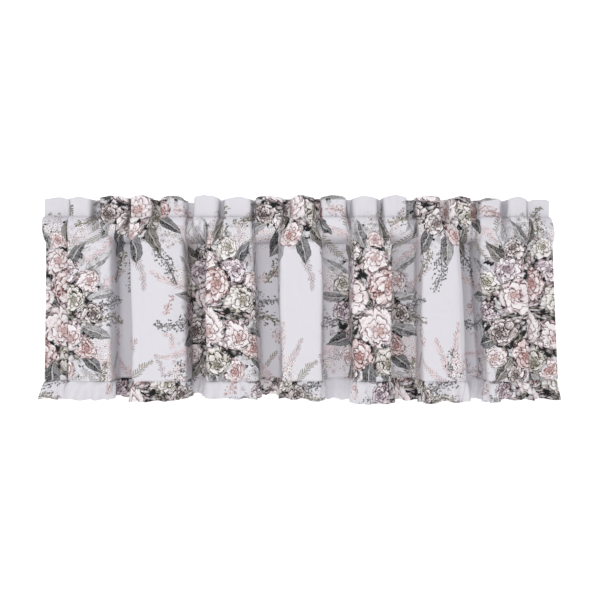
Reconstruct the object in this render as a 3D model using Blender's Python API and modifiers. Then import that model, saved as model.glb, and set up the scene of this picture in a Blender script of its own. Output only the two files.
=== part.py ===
"""Window valance: a printed cloth panel gathered on a rod pocket, with a frilled heading above the
pocket and a gathered ruffle along its hem.

The cloth hangs straight down from its top edge.  X runs along the valance, -Y faces the room and
+Z is up.  The origin is the middle of the top edge.  All lengths are in metres.

Each piece is a flat grid of cloth that is bent to its place by a function.  A fold line gives the
way the cloth goes back and forth at one height, and the cloth changes from the small waves of the
heading to the deep folds of the panel on its way down.
"""

from typing import NamedTuple

import bmesh
import bpy
import numpy as np

# ---------------------------------------------------------------- driving sizes

DROP = 0.457             # top edge to the free edge of the ruffle
HEADING_HEIGHT = 0.048   # frill above the rod pocket
POCKET_HEIGHT = 0.056    # rod pocket, between its two rows of stitches
RUFFLE_HEIGHT = 0.0425   # strip gathered onto the hem

CLOTH = 0.0010           # thickness of one layer
POCKET_GAP = 0.0006      # between the heading's two lower edges and the panel
HEM_GAP = 0.0003         # between the panel's hem and the ruffle
LAYER_OFFSET = 0.0012    # from the middle of the doubled heading to the middle of each layer

HEADING_WAVE = 0.018     # half the depth of the waves in the frill
PANEL_FOLD = 0.037       # half the depth of the folds in the panel
POCKET_CLEAR = 0.016     # least distance from the middle of the pocket to its cloth
POCKET_WAVE = 0.020      # further depth of the gathers around the pocket
SETTLE = 0.062           # height over which the waves turn into folds, from the upper stitches
POCKET_ROUND = 0.4       # how fast the pocket opens, 1 for a sine, less for a squarer one

WAVE_BEND = 0.011        # cloth taken up by a bend in the frill
FOLD_BEND = 0.019        # cloth taken up by a bend in the panel
WAVE_LEAN = 0.004        # how far the side of a wave leans out towards the back
FOLD_LEAN = 0.005        # how far the side of a fold leans out towards the back
LEAN_SHARE = 0.3         # most of a hollow's width that one leaning side may take
FULL_HOLLOW = 0.016      # width from which a hollow of the frill has its full depth
CREST_ROUND = 0.0018     # how far the top edge falls from a wave's middle to its sides
SHOULDER_FALL = 0.30     # part of a fold's depth that a sloping shoulder falls back

RUFFLE_STAND = 0.0015    # ruffle's gathers at its seam, half the depth
RUFFLE_FLUTE = 0.0065    # ruffle's gathers at its free edge, half the depth
RUFFLE_SPREAD = 0.010    # part by which the free edge is longer than the hem
END_FLICK = 0.006        # how far the two ends of the ruffle stand out
END_REACH = 0.030        # part of the ruffle that stands out at an end

HEADING_COLUMNS = 156
PANEL_COLUMNS = 118
RUFFLE_COLUMNS = 186
POCKET_ROWS = (0.0, 0.2, 0.5, 0.8, 1.0)
PANEL_ROWS = (0.0, 0.06, 0.13, 0.24, 0.42, 0.70, 1.0)
RUFFLE_ROWS = (0.0, 0.45, 1.0)

UPPER_STITCHES = -HEADING_HEIGHT
LOWER_STITCHES = UPPER_STITCHES - POCKET_HEIGHT
HEM = -DROP + RUFFLE_HEIGHT

COLLECTION = "window_valance"


class Wave(NamedTuple):
    """One forward wave of the frill, as seen from the room."""

    left: float    # x of its left side
    right: float   # x of its right side
    front: float   # how far forward it comes, 1 for the full half depth
    crest: float   # height of the top edge on it
    dip: float     # height of the top edge in the hollow to its right


class Fold(NamedTuple):
    """One forward fold of the panel, as seen from the room."""

    left_top: float     # x of its left side at the pocket
    left_hem: float     # x of its left side at the hem
    right_top: float    # x of its right side at the pocket
    right_hem: float    # x of its right side at the hem
    shoulder: float     # width of the part that slopes back at its right side
    front: float        # how far forward it comes, 1 for the full half depth
    hollow: float       # how far back the hollow to its right goes, 1 for the full half depth


class Edge(NamedTuple):
    """Length of the valance at one place along it."""

    x: float
    drop: float


WAVES = (
    Wave(-0.575, -0.521, 0.35, -0.003, -0.003),
    Wave(-0.515, -0.472, 0.90, -0.004, -0.006),
    Wave(-0.446, -0.391, 1.00, -0.001, -0.002),
    Wave(-0.378, -0.337, 1.00, 0.000, -0.006),
    Wave(-0.312, -0.261, 0.95, -0.001, -0.011),
    Wave(-0.238, -0.188, 1.00, 0.000, -0.006),
    Wave(-0.169, -0.113, 0.90, -0.004, -0.006),
    Wave(-0.097, -0.044, 1.00, -0.001, -0.004),
    Wave(-0.019, 0.026, 1.00, 0.000, -0.003),
    Wave(0.050, 0.100, 1.00, 0.000, -0.005),
    Wave(0.119, 0.169, 0.95, -0.002, -0.004),
    Wave(0.189, 0.236, 1.05, 0.000, -0.006),
    Wave(0.261, 0.310, 1.00, -0.001, -0.005),
    Wave(0.334, 0.379, 1.00, -0.003, -0.007),
    Wave(0.402, 0.446, 0.90, -0.006, -0.008),
    Wave(0.466, 0.506, 1.00, -0.004, -0.006),
    Wave(0.513, 0.560, 0.10, -0.007, -0.007),
)

FOLDS = (
    Fold(-0.570, -0.574, -0.524, -0.522, 0.000, 0.30, 0.15),
    Fold(-0.516, -0.516, -0.424, -0.420, 0.000, 0.95, 0.95),
    Fold(-0.376, -0.372, -0.264, -0.252, 0.028, 1.00, 1.10),
    Fold(-0.207, -0.210, -0.108, -0.092, 0.012, 1.00, 1.05),
    Fold(-0.045, -0.042, 0.046, 0.048, 0.000, 0.95, 0.85),
    Fold(0.116, 0.117, 0.200, 0.202, 0.000, 1.05, 0.90),
    Fold(0.268, 0.270, 0.354, 0.372, 0.014, 1.00, 1.10),
    Fold(0.396, 0.414, 0.501, 0.506, 0.000, 1.00, 0.10),
    Fold(0.509, 0.514, 0.566, 0.578, 0.000, 0.25, 0.25),
)

HEM_LENGTHS = (
    Edge(-0.580, 0.4565),
    Edge(-0.425, 0.4540),
    Edge(-0.375, 0.4590),
    Edge(-0.290, 0.4570),
    Edge(-0.230, 0.4505),
    Edge(-0.120, 0.4525),
    Edge(0.000, 0.4525),
    Edge(0.060, 0.4610),
    Edge(0.120, 0.4635),
    Edge(0.200, 0.4630),
    Edge(0.262, 0.4650),
    Edge(0.320, 0.4575),
    Edge(0.412, 0.4630),
    Edge(0.450, 0.4530),
    Edge(0.580, 0.4585),
)

RUFFLE_PITCHES = (0.046, 0.038, 0.052, 0.034, 0.044, 0.056, 0.040)   # cloth from gather to gather
RUFFLE_DEPTHS = (1.00, 0.75, 1.10, 0.60, 0.90)                       # part of the full gather

GROUND = (0.77, 0.76, 0.80, 1.0)
RUFFLE_GROUND = (0.74, 0.73, 0.76, 1.0)
CLOTH_ROUGHNESS = 0.85


# ---------------------------------------------------------------- fold lines

def smooth(value):
    """Ease a value that runs from 0 to 1."""
    value = np.clip(value, 0.0, 1.0)
    return value * value * (3.0 - 2.0 * value)


def mix(first, second, share):
    """Go from the first value to the second by a share of the way."""
    return first + (second - first) * share


def round_corners(corners, bend):
    """Give each corner of a broken line one point before it and one after it.

    The distance to the corner is half the bend, or less on a short side.  A spline led by these
    points then runs straight along the sides and turns only at the corners.
    """
    corners = np.array(corners)
    led = [corners[0]]
    for before, corner, after in zip(corners[:-2], corners[1:-1], corners[2:]):
        for neighbour in (before, after):
            side = neighbour - corner
            share = min(bend / max(np.hypot(side[0], side[1]), 1e-6), 0.45)
            point = corner + side * share
            if neighbour is before:
                led += [point, corner]
            else:
                led.append(point)
    led.append(corners[-1])
    return np.array(led)


def spline(led, steps=10):
    """Points of the quadratic B-spline led by an array of points, ends included."""
    led = np.vstack([led[:1], led, led[-1:]])
    share = np.linspace(0.0, 1.0, steps, endpoint=False)[:, None]
    spans = [
        0.5 * (1 - share) ** 2 * a + (0.5 + share * (1 - share)) * b + 0.5 * share ** 2 * c
        for a, b, c in zip(led[:-2], led[1:-1], led[2:])
    ]
    return np.vstack(spans + [led[-1:]])


class FoldLine:
    """The way the cloth goes at one height, with each point found by its share of the cloth."""

    def __init__(self, corners, bend):
        self.points = spline(round_corners(corners, bend))
        steps = np.diff(self.points[:, :2], axis=0)
        lengths = np.hypot(steps[:, 0], steps[:, 1])
        self.share = np.concatenate([[0.0], np.cumsum(lengths)])
        self.length = self.share[-1]
        self.share /= self.length

    def at(self, share):
        """Rows of the fold line's columns at the given shares of the cloth."""
        return np.stack([np.interp(share, self.share, column) for column in self.points.T], axis=-1)

    def columns(self, count, run=0.045, turn=0.8):
        """Shares of the cloth for a grid's columns, closer together where the cloth turns.

        One more column goes in for each `run` of cloth and each `turn` in radians.
        """
        steps = np.diff(self.points[:, :2], axis=0)
        heading = np.unwrap(np.arctan2(steps[:, 1], steps[:, 0] + 1e-9))
        turning = np.abs(np.diff(heading, prepend=heading[0]))
        weight = np.hypot(steps[:, 0], steps[:, 1]) / run + turning / turn
        measure = np.concatenate([[0.0], np.cumsum(weight)])
        wanted = np.linspace(0.0, measure[-1], count + 1)
        return np.interp(wanted, measure, self.share)


def heading_line():
    """Fold line of the frill: x, y and the height of the top edge."""
    corners = []
    for number, wave in enumerate(WAVES):
        front = -HEADING_WAVE * wave.front
        side = wave.crest - CREST_ROUND
        corners.append((wave.left, front, side))
        corners.append((0.5 * (wave.left + wave.right), front, wave.crest))
        corners.append((wave.right, front, side))
        if number + 1 < len(WAVES):
            following = WAVES[number + 1]
            room = following.left - wave.right
            lean = min(WAVE_LEAN, LEAN_SHARE * room)
            back = HEADING_WAVE * min(1.0, room / FULL_HOLLOW)
            corners.append((wave.right + lean, back, wave.dip))
            corners.append((following.left - lean, back, wave.dip))
    return FoldLine(corners, WAVE_BEND)


def panel_line():
    """Fold line of the panel: x half way down, y, x at the pocket and x at the hem."""
    corners = []

    def corner(top, hem, depth):
        corners.append((0.5 * (top + hem), depth, top, hem))

    for number, fold in enumerate(FOLDS):
        front = -PANEL_FOLD * fold.front
        corner(fold.left_top, fold.left_hem, front)
        if fold.shoulder:
            corner(fold.right_top - fold.shoulder, fold.right_hem - fold.shoulder, front)
            front += SHOULDER_FALL * PANEL_FOLD
        corner(fold.right_top, fold.right_hem, front)
        if number + 1 < len(FOLDS):
            following = FOLDS[number + 1]
            back = PANEL_FOLD * fold.hollow
            lean = min(FOLD_LEAN, LEAN_SHARE * (following.left_top - fold.right_top))
            corner(fold.right_top + lean, fold.right_hem + lean, back)
            corner(following.left_top - lean, following.left_hem - lean, back)
    return FoldLine(corners, FOLD_BEND)


HEADING = heading_line()
PANEL = panel_line()


# ---------------------------------------------------------------- the hanging cloth

def hang(share, height):
    """Middle of the cloth, as x and y, at shares of its width and at heights below the frill."""
    wave = HEADING.at(share)
    fold = PANEL.at(share)
    settled = smooth((UPPER_STITCHES - height) / SETTLE)
    down = np.clip((LOWER_STITCHES - height) / (LOWER_STITCHES - HEM), 0.0, 1.0)
    fold_x = mix(fold[..., 2], fold[..., 3], down)
    return np.stack([mix(wave[..., 0], fold_x, settled), mix(wave[..., 1], fold[..., 1], settled)], -1)


def facing(share, height):
    """Unit direction, as x and y, from the cloth towards the room."""
    step = 2e-4
    ahead = hang(np.clip(share + step, 0.0, 1.0), height)
    behind = hang(np.clip(share - step, 0.0, 1.0), height)
    along = ahead - behind
    along /= np.linalg.norm(along, axis=-1, keepdims=True)
    return np.stack([along[..., 1], -along[..., 0]], -1)


def pocket_layer(share, down, side):
    """Front (side 1) or back (side -1) layer of the pocket, `down` from its upper stitches."""
    height = UPPER_STITCHES - POCKET_HEIGHT * down
    middle = hang(share, height)
    normal = facing(share, height) * side
    half_depth = mix(HEADING_WAVE, PANEL_FOLD, smooth(POCKET_HEIGHT * down / SETTLE))
    outward = np.clip(0.5 - 0.5 * side * middle[..., 1] / half_depth, 0.0, 1.0)
    opened = -side * (POCKET_CLEAR + POCKET_WAVE * outward)
    bulge = np.sin(np.pi * down) ** POCKET_ROUND
    x = middle[..., 0] + normal[..., 0] * LAYER_OFFSET
    y = mix(middle[..., 1] + normal[..., 1] * LAYER_OFFSET, opened, bulge)
    return np.stack([x, y, height + 0.0 * x], -1)


def frill_layer(share, down, side):
    """Front (side 1) or back (side -1) layer of the frill, `down` from its top edge."""
    middle = hang(share, UPPER_STITCHES) + facing(share, UPPER_STITCHES) * side * LAYER_OFFSET
    top = HEADING.at(share)[..., 2]
    return np.concatenate([middle, mix(top, UPPER_STITCHES, down)[..., None]], -1)


def heading_rows(share):
    """Rows of the heading's strip, up its front, over its top and down its back."""
    front = [pocket_layer(share, down, 1) for down in reversed(POCKET_ROWS)]
    back = [pocket_layer(share, down, -1) for down in POCKET_ROWS]
    front[0][..., 2] += 0.5 * POCKET_GAP
    back[-1][..., 2] += 0.5 * POCKET_GAP
    return np.stack(front + [frill_layer(share, 0.0, 1), frill_layer(share, 0.0, -1)] + back)


def panel_rows(share):
    """Rows of the panel, from the pocket's lower stitches to the hem."""
    top = LOWER_STITCHES - 0.5 * POCKET_GAP
    bottom = HEM + 0.5 * HEM_GAP
    rows = []
    for down in PANEL_ROWS:
        height = mix(top, bottom, down)
        middle = hang(share, height)
        rows.append(np.concatenate([middle, np.full((len(share), 1), height)], -1))
    return np.stack(rows)


def gathers(share):
    """How far the ruffle stands forward, from -1 to 1, by its uneven gathers."""
    places = [0.0]
    while places[-1] < PANEL.length:
        places.append(places[-1] + RUFFLE_PITCHES[(len(places) - 1) % len(RUFFLE_PITCHES)])
    turns = np.interp(share * PANEL.length, places, np.arange(len(places)))
    depths = np.array([RUFFLE_DEPTHS[n % len(RUFFLE_DEPTHS)] for n in range(len(places))])
    return np.cos(2.0 * np.pi * turns) * np.interp(turns, np.arange(len(places)), depths)


def ruffle_rows(share):
    """Rows of the ruffle, from the hem to its free edge."""
    middle = hang(share, HEM)
    normal = facing(share, HEM)
    edge = np.array(HEM_LENGTHS)
    free = -np.interp(middle[:, 0], edge[:, 0], edge[:, 1])
    ends = np.exp(-(1.0 - share) / END_REACH) - np.exp(-share / END_REACH)
    rows = []
    for down in RUFFLE_ROWS:
        stand = mix(RUFFLE_STAND, RUFFLE_FLUTE, down) * gathers(share)
        place = middle + normal * stand[:, None]
        place[:, 0] += down * (RUFFLE_SPREAD * middle[:, 0] + END_FLICK * ends)
        height = mix(HEM - 0.5 * HEM_GAP, free, down)
        rows.append(np.concatenate([place, height[:, None]], -1))
    return np.stack(rows)


# ---------------------------------------------------------------- Blender objects

def cloth_material(name, colour):
    """A matt Principled material of one colour."""
    material = bpy.data.materials.new(name)
    material.use_nodes = True
    shader = material.node_tree.nodes["Principled BSDF"]
    shader.inputs["Base Color"].default_value = colour
    shader.inputs["Roughness"].default_value = CLOTH_ROUGHNESS
    shader.inputs["Metallic"].default_value = 0.0
    return material


def sheet(name, rows, colour, collection):
    """A flat grid bent to the given rows of points, and thickened to a layer of cloth."""
    row_count, column_count = rows.shape[:2]
    mesh = bpy.data.meshes.new(name)
    grid = bmesh.new()
    bmesh.ops.create_grid(grid, x_segments=column_count - 1, y_segments=row_count - 1, size=0.5)
    for vertex in grid.verts:
        column = round((vertex.co.x + 0.5) * (column_count - 1))
        row = round((vertex.co.y + 0.5) * (row_count - 1))
        vertex.co = rows[row, column]
    grid.to_mesh(mesh)
    grid.free()
    mesh.shade_smooth()
    mesh.materials.append(cloth_material(name + "_cloth", colour))
    piece = bpy.data.objects.new(name, mesh)
    collection.objects.link(piece)
    wall = piece.modifiers.new("layer", "SOLIDIFY")
    wall.thickness = CLOTH
    wall.offset = 0.0
    return piece


def build():
    """Clear the scene and make the three pieces of the valance."""
    for leftover in list(bpy.data.objects):
        bpy.data.objects.remove(leftover, do_unlink=True)
    collection = bpy.data.collections.new(COLLECTION)
    bpy.context.scene.collection.children.link(collection)
    sheet("heading", heading_rows(HEADING.columns(HEADING_COLUMNS)), GROUND, collection)
    sheet("panel", panel_rows(PANEL.columns(PANEL_COLUMNS))[::-1], GROUND, collection)
    ruffle = ruffle_rows(np.linspace(0.0, 1.0, RUFFLE_COLUMNS + 1))
    sheet("hem_ruffle", ruffle[::-1], RUFFLE_GROUND, collection)


build()
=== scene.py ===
"""Looks of the window valance: sheets of printed cloth on the folds of the CAD solids, with their
turned hems, puckers, creases and stitches, in a pale studio.

The cloth hangs straight down from its top edge.  X runs along the valance, -Y faces the room and
+Z is up.  The origin is the middle of the top edge.  All lengths are in metres.  The tables of
waves and folds are those of the CAD source, so each sheet lies on its own solid.
"""

import logging
import math
from dataclasses import dataclass, field
from enum import Enum
from typing import ClassVar, NamedTuple, Sequence

import bpy
import numpy as np
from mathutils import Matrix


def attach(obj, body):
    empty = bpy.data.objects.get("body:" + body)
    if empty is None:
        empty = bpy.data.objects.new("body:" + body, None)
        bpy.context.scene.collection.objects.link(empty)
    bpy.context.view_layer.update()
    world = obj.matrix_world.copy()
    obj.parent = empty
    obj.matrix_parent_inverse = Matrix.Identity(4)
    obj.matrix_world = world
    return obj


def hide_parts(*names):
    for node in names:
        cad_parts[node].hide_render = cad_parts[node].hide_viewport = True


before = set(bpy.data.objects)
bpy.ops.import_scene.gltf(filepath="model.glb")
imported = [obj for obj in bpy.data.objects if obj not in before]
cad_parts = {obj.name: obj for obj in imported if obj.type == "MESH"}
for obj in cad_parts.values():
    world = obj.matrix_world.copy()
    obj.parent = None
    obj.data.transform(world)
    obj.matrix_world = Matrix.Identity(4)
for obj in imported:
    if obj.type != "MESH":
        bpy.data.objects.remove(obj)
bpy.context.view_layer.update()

LOG = logging.getLogger("valance")
UV_NAME = "cloth"

Colour = tuple[float, float, float]


def paint(red: int, green: int, blue: int) -> Colour:
    """Linear colour of a paint that is given as screen values from 0 to 255.

    Args:
        red: Screen value of red.
        green: Screen value of green.
        blue: Screen value of blue.

    Returns:
        The colour in linear values.
    """
    screen = (value / 255.0 for value in (red, green, blue))
    return tuple(v / 12.92 if v <= 0.04045 else ((v + 0.055) / 1.055) ** 2.4 for v in screen)


def paints(*screens: tuple[int, int, int]) -> tuple[Colour, ...]:
    """Linear colours of paints that are given as screen values."""
    return tuple(paint(*screen) for screen in screens)


# ---------------------------------------------------------------- the hanging cloth

class Wave(NamedTuple):
    """One forward wave of the frill, as seen from the room."""

    left: float    # x of its left side
    right: float   # x of its right side
    front: float   # how far forward it comes, 1 for the full half depth
    crest: float   # height of the top edge on it
    dip: float     # height of the top edge in the hollow to its right


class Fold(NamedTuple):
    """One forward fold of the panel, as seen from the room."""

    left_top: float     # x of its left side at the pocket
    left_hem: float     # x of its left side at the hem
    right_top: float    # x of its right side at the pocket
    right_hem: float    # x of its right side at the hem
    shoulder: float     # width of the part that slopes back at its right side
    front: float        # how far forward it comes, 1 for the full half depth
    hollow: float       # how far back the hollow to its right goes, 1 for the full half depth


class Edge(NamedTuple):
    """Length of the valance at one place along it."""

    x: float
    drop: float


class Crease(NamedTuple):
    """One soft trough in the hanging cloth."""

    place: float    # from the left side of the flat cloth to its upper end
    slant: float    # how far it goes to the right on its way down
    upper: float    # height of its upper end
    lower: float    # height of its lower end
    width: float    # half its width
    depth: float    # how deep it is, less than 0 for a ridge


class Columns(NamedTuple):
    """The columns of a sheet, with those of the hems that are turned behind its sides."""

    share: np.ndarray    # share of the cloth's width at which a column hangs
    behind: np.ndarray   # how far it is turned behind the sheet, from 0 to 1
    along: np.ndarray    # where it was on the flat cloth


WAVES = (
    Wave(-0.575, -0.521, 0.35, -0.003, -0.003),
    Wave(-0.515, -0.472, 0.90, -0.004, -0.006),
    Wave(-0.446, -0.391, 1.00, -0.001, -0.002),
    Wave(-0.378, -0.337, 1.00, 0.000, -0.006),
    Wave(-0.312, -0.261, 0.95, -0.001, -0.011),
    Wave(-0.238, -0.188, 1.00, 0.000, -0.006),
    Wave(-0.169, -0.113, 0.90, -0.004, -0.006),
    Wave(-0.097, -0.044, 1.00, -0.001, -0.004),
    Wave(-0.019, 0.026, 1.00, 0.000, -0.003),
    Wave(0.050, 0.100, 1.00, 0.000, -0.005),
    Wave(0.119, 0.169, 0.95, -0.002, -0.004),
    Wave(0.189, 0.236, 1.05, 0.000, -0.006),
    Wave(0.261, 0.310, 1.00, -0.001, -0.005),
    Wave(0.334, 0.379, 1.00, -0.003, -0.007),
    Wave(0.402, 0.446, 0.90, -0.006, -0.008),
    Wave(0.466, 0.506, 1.00, -0.004, -0.006),
    Wave(0.513, 0.560, 0.10, -0.007, -0.007),
)

FOLDS = (
    Fold(-0.570, -0.574, -0.524, -0.522, 0.000, 0.30, 0.15),
    Fold(-0.516, -0.516, -0.424, -0.420, 0.000, 0.95, 0.95),
    Fold(-0.376, -0.372, -0.264, -0.252, 0.028, 1.00, 1.10),
    Fold(-0.207, -0.210, -0.108, -0.092, 0.012, 1.00, 1.05),
    Fold(-0.045, -0.042, 0.046, 0.048, 0.000, 0.95, 0.85),
    Fold(0.116, 0.117, 0.200, 0.202, 0.000, 1.05, 0.90),
    Fold(0.268, 0.270, 0.354, 0.372, 0.014, 1.00, 1.10),
    Fold(0.396, 0.414, 0.501, 0.506, 0.000, 1.00, 0.10),
    Fold(0.509, 0.514, 0.566, 0.578, 0.000, 0.25, 0.25),
)

HEM_LENGTHS = (
    Edge(-0.580, 0.4565),
    Edge(-0.425, 0.4540),
    Edge(-0.375, 0.4590),
    Edge(-0.290, 0.4570),
    Edge(-0.230, 0.4505),
    Edge(-0.120, 0.4525),
    Edge(0.000, 0.4525),
    Edge(0.060, 0.4610),
    Edge(0.120, 0.4635),
    Edge(0.200, 0.4630),
    Edge(0.262, 0.4650),
    Edge(0.320, 0.4575),
    Edge(0.412, 0.4630),
    Edge(0.450, 0.4530),
    Edge(0.580, 0.4585),
)

CREASES = (
    Crease(0.075, 0.004, -0.004, -0.046, 0.0030, 0.0012),
    Crease(0.775, 0.003, -0.052, -0.104, 0.0030, 0.0014),
    Crease(1.080, 0.002, -0.056, -0.106, 0.0030, 0.0014),
    Crease(1.205, 0.004, -0.054, -0.110, 0.0030, 0.0012),
    Crease(1.430, -0.020, -0.056, -0.108, 0.0035, 0.0016),
    Crease(1.900, 0.006, -0.060, -0.140, 0.0035, 0.0014),
)


def smooth(value: np.ndarray) -> np.ndarray:
    """Ease a value that runs from 0 to 1.

    Args:
        value: The value, which is held between 0 and 1 first.

    Returns:
        The eased value.
    """
    value = np.clip(value, 0.0, 1.0)
    return value * value * (3.0 - 2.0 * value)


def mix(first: np.ndarray, second: np.ndarray, share: np.ndarray) -> np.ndarray:
    """Go from the first value to the second by a share of the way."""
    return first + (second - first) * share


@dataclass(frozen=True)
class Ripples:
    """Ripples whose pitch and height drift, as gathered cloth's do."""

    size: float                # how far the highest go to either side
    pitch: float               # mean distance from crest to crest
    start: float               # where in their drift they start
    slow_drift: float = 2.1    # radians by which they drift slowly to and fro
    slow_pitch: float = 7.3    # ripples in one slow drift
    quick_drift: float = 1.3
    quick_pitch: float = 3.1
    lowest: float = 0.3        # height of the lowest beside the highest
    swell_pitch: float = 5.3   # ripples from one low one to the next

    def at(self, along: np.ndarray) -> np.ndarray:
        """How far the cloth goes to the side at places along it."""
        turn = along * (2.0 * math.pi / self.pitch)
        drift = self.slow_drift * np.sin(turn / self.slow_pitch + self.start)
        drift += self.quick_drift * np.sin(turn / self.quick_pitch + 2.0 * self.start)
        swell = 0.5 * (1.0 + np.sin(turn / self.swell_pitch + 3.0 * self.start))
        return self.size * mix(self.lowest, 1.0, swell) * np.sin(turn + drift)


@dataclass(frozen=True)
class Puckers(Ripples):
    """Ripples along a row of stitches, which fade and lean away from it."""

    reach: float = 0.010       # distance from the stitches over which they fade
    slant: float = 0.0         # how far they lean to one side or the other
    lean_turn: float = 23.0    # radians in a metre by which their lean changes

    def beside(self, along: np.ndarray, away: np.ndarray) -> np.ndarray:
        """How far the cloth stands out at places along the stitches and away from them."""
        slant = self.slant * np.sin(along * self.lean_turn)
        return self.at(along + slant * away) * np.exp(-np.abs(away) / self.reach)


class FoldLine:
    """The way the cloth goes at one height, with each point found by its share of the cloth."""

    def __init__(self, corners: Sequence[tuple], bend: float) -> None:
        """Lead a smooth line round the corners.

        Args:
            corners: Rows of x, y and whatever else changes along the line.
            bend: Cloth taken up by the bend at a corner.
        """
        self.points = self.spline(self.round_corners(np.array(corners), bend))
        steps = np.diff(self.points[:, :2], axis=0)
        lengths = np.hypot(steps[:, 0], steps[:, 1])
        self.share = np.concatenate([[0.0], np.cumsum(lengths)])
        self.length = float(self.share[-1])
        self.share /= self.length

    @staticmethod
    def round_corners(corners: np.ndarray, bend: float) -> np.ndarray:
        """Give each corner of a broken line one point before it and one after it.

        Args:
            corners: The corners, one a row.
            bend: Twice the distance from a corner to its new points, less on a short side.

        Returns:
            The points that lead the spline.
        """
        led = [corners[0]]
        for before, corner, after in zip(corners[:-2], corners[1:-1], corners[2:]):
            for neighbour in (before, after):
                side = neighbour - corner
                share = min(bend / max(np.hypot(side[0], side[1]), 1e-6), 0.45)
                point = corner + side * share
                led += [point, corner] if neighbour is before else [point]
        led.append(corners[-1])
        return np.array(led)

    @staticmethod
    def spline(led: np.ndarray, steps: int = 16) -> np.ndarray:
        """Points of the quadratic B-spline led by an array of points, ends included.

        Args:
            led: The leading points, one a row.
            steps: Points made for each leading point.

        Returns:
            The points of the spline, one a row.
        """
        led = np.vstack([led[:1], led, led[-1:]])
        share = np.linspace(0.0, 1.0, steps, endpoint=False)[:, None]
        spans = [
            0.5 * (1 - share) ** 2 * a + (0.5 + share * (1 - share)) * b + 0.5 * share ** 2 * c
            for a, b, c in zip(led[:-2], led[1:-1], led[2:])
        ]
        return np.vstack(spans + [led[-1:]])

    def at(self, share: np.ndarray) -> np.ndarray:
        """Rows of the line's columns at the given shares of the cloth."""
        return np.stack([np.interp(share, self.share, column) for column in self.points.T], -1)

    def columns(self, count: int, run: float, turn: float) -> np.ndarray:
        """Shares of the cloth for a grid's columns, closer together where the cloth turns.

        Args:
            count: How many steps there are between the columns.
            run: Cloth along which one more column goes in.
            turn: Turn in radians for which one more column goes in.

        Returns:
            The shares, from 0 to 1.
        """
        steps = np.diff(self.points[:, :2], axis=0)
        heading = np.unwrap(np.arctan2(steps[:, 1], steps[:, 0] + 1e-9))
        turning = np.abs(np.diff(heading, prepend=heading[0]))
        weight = np.hypot(steps[:, 0], steps[:, 1]) / run + turning / turn
        measure = np.concatenate([[0.0], np.cumsum(weight)])
        return np.interp(np.linspace(0.0, measure[-1], count + 1), measure, self.share)


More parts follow.
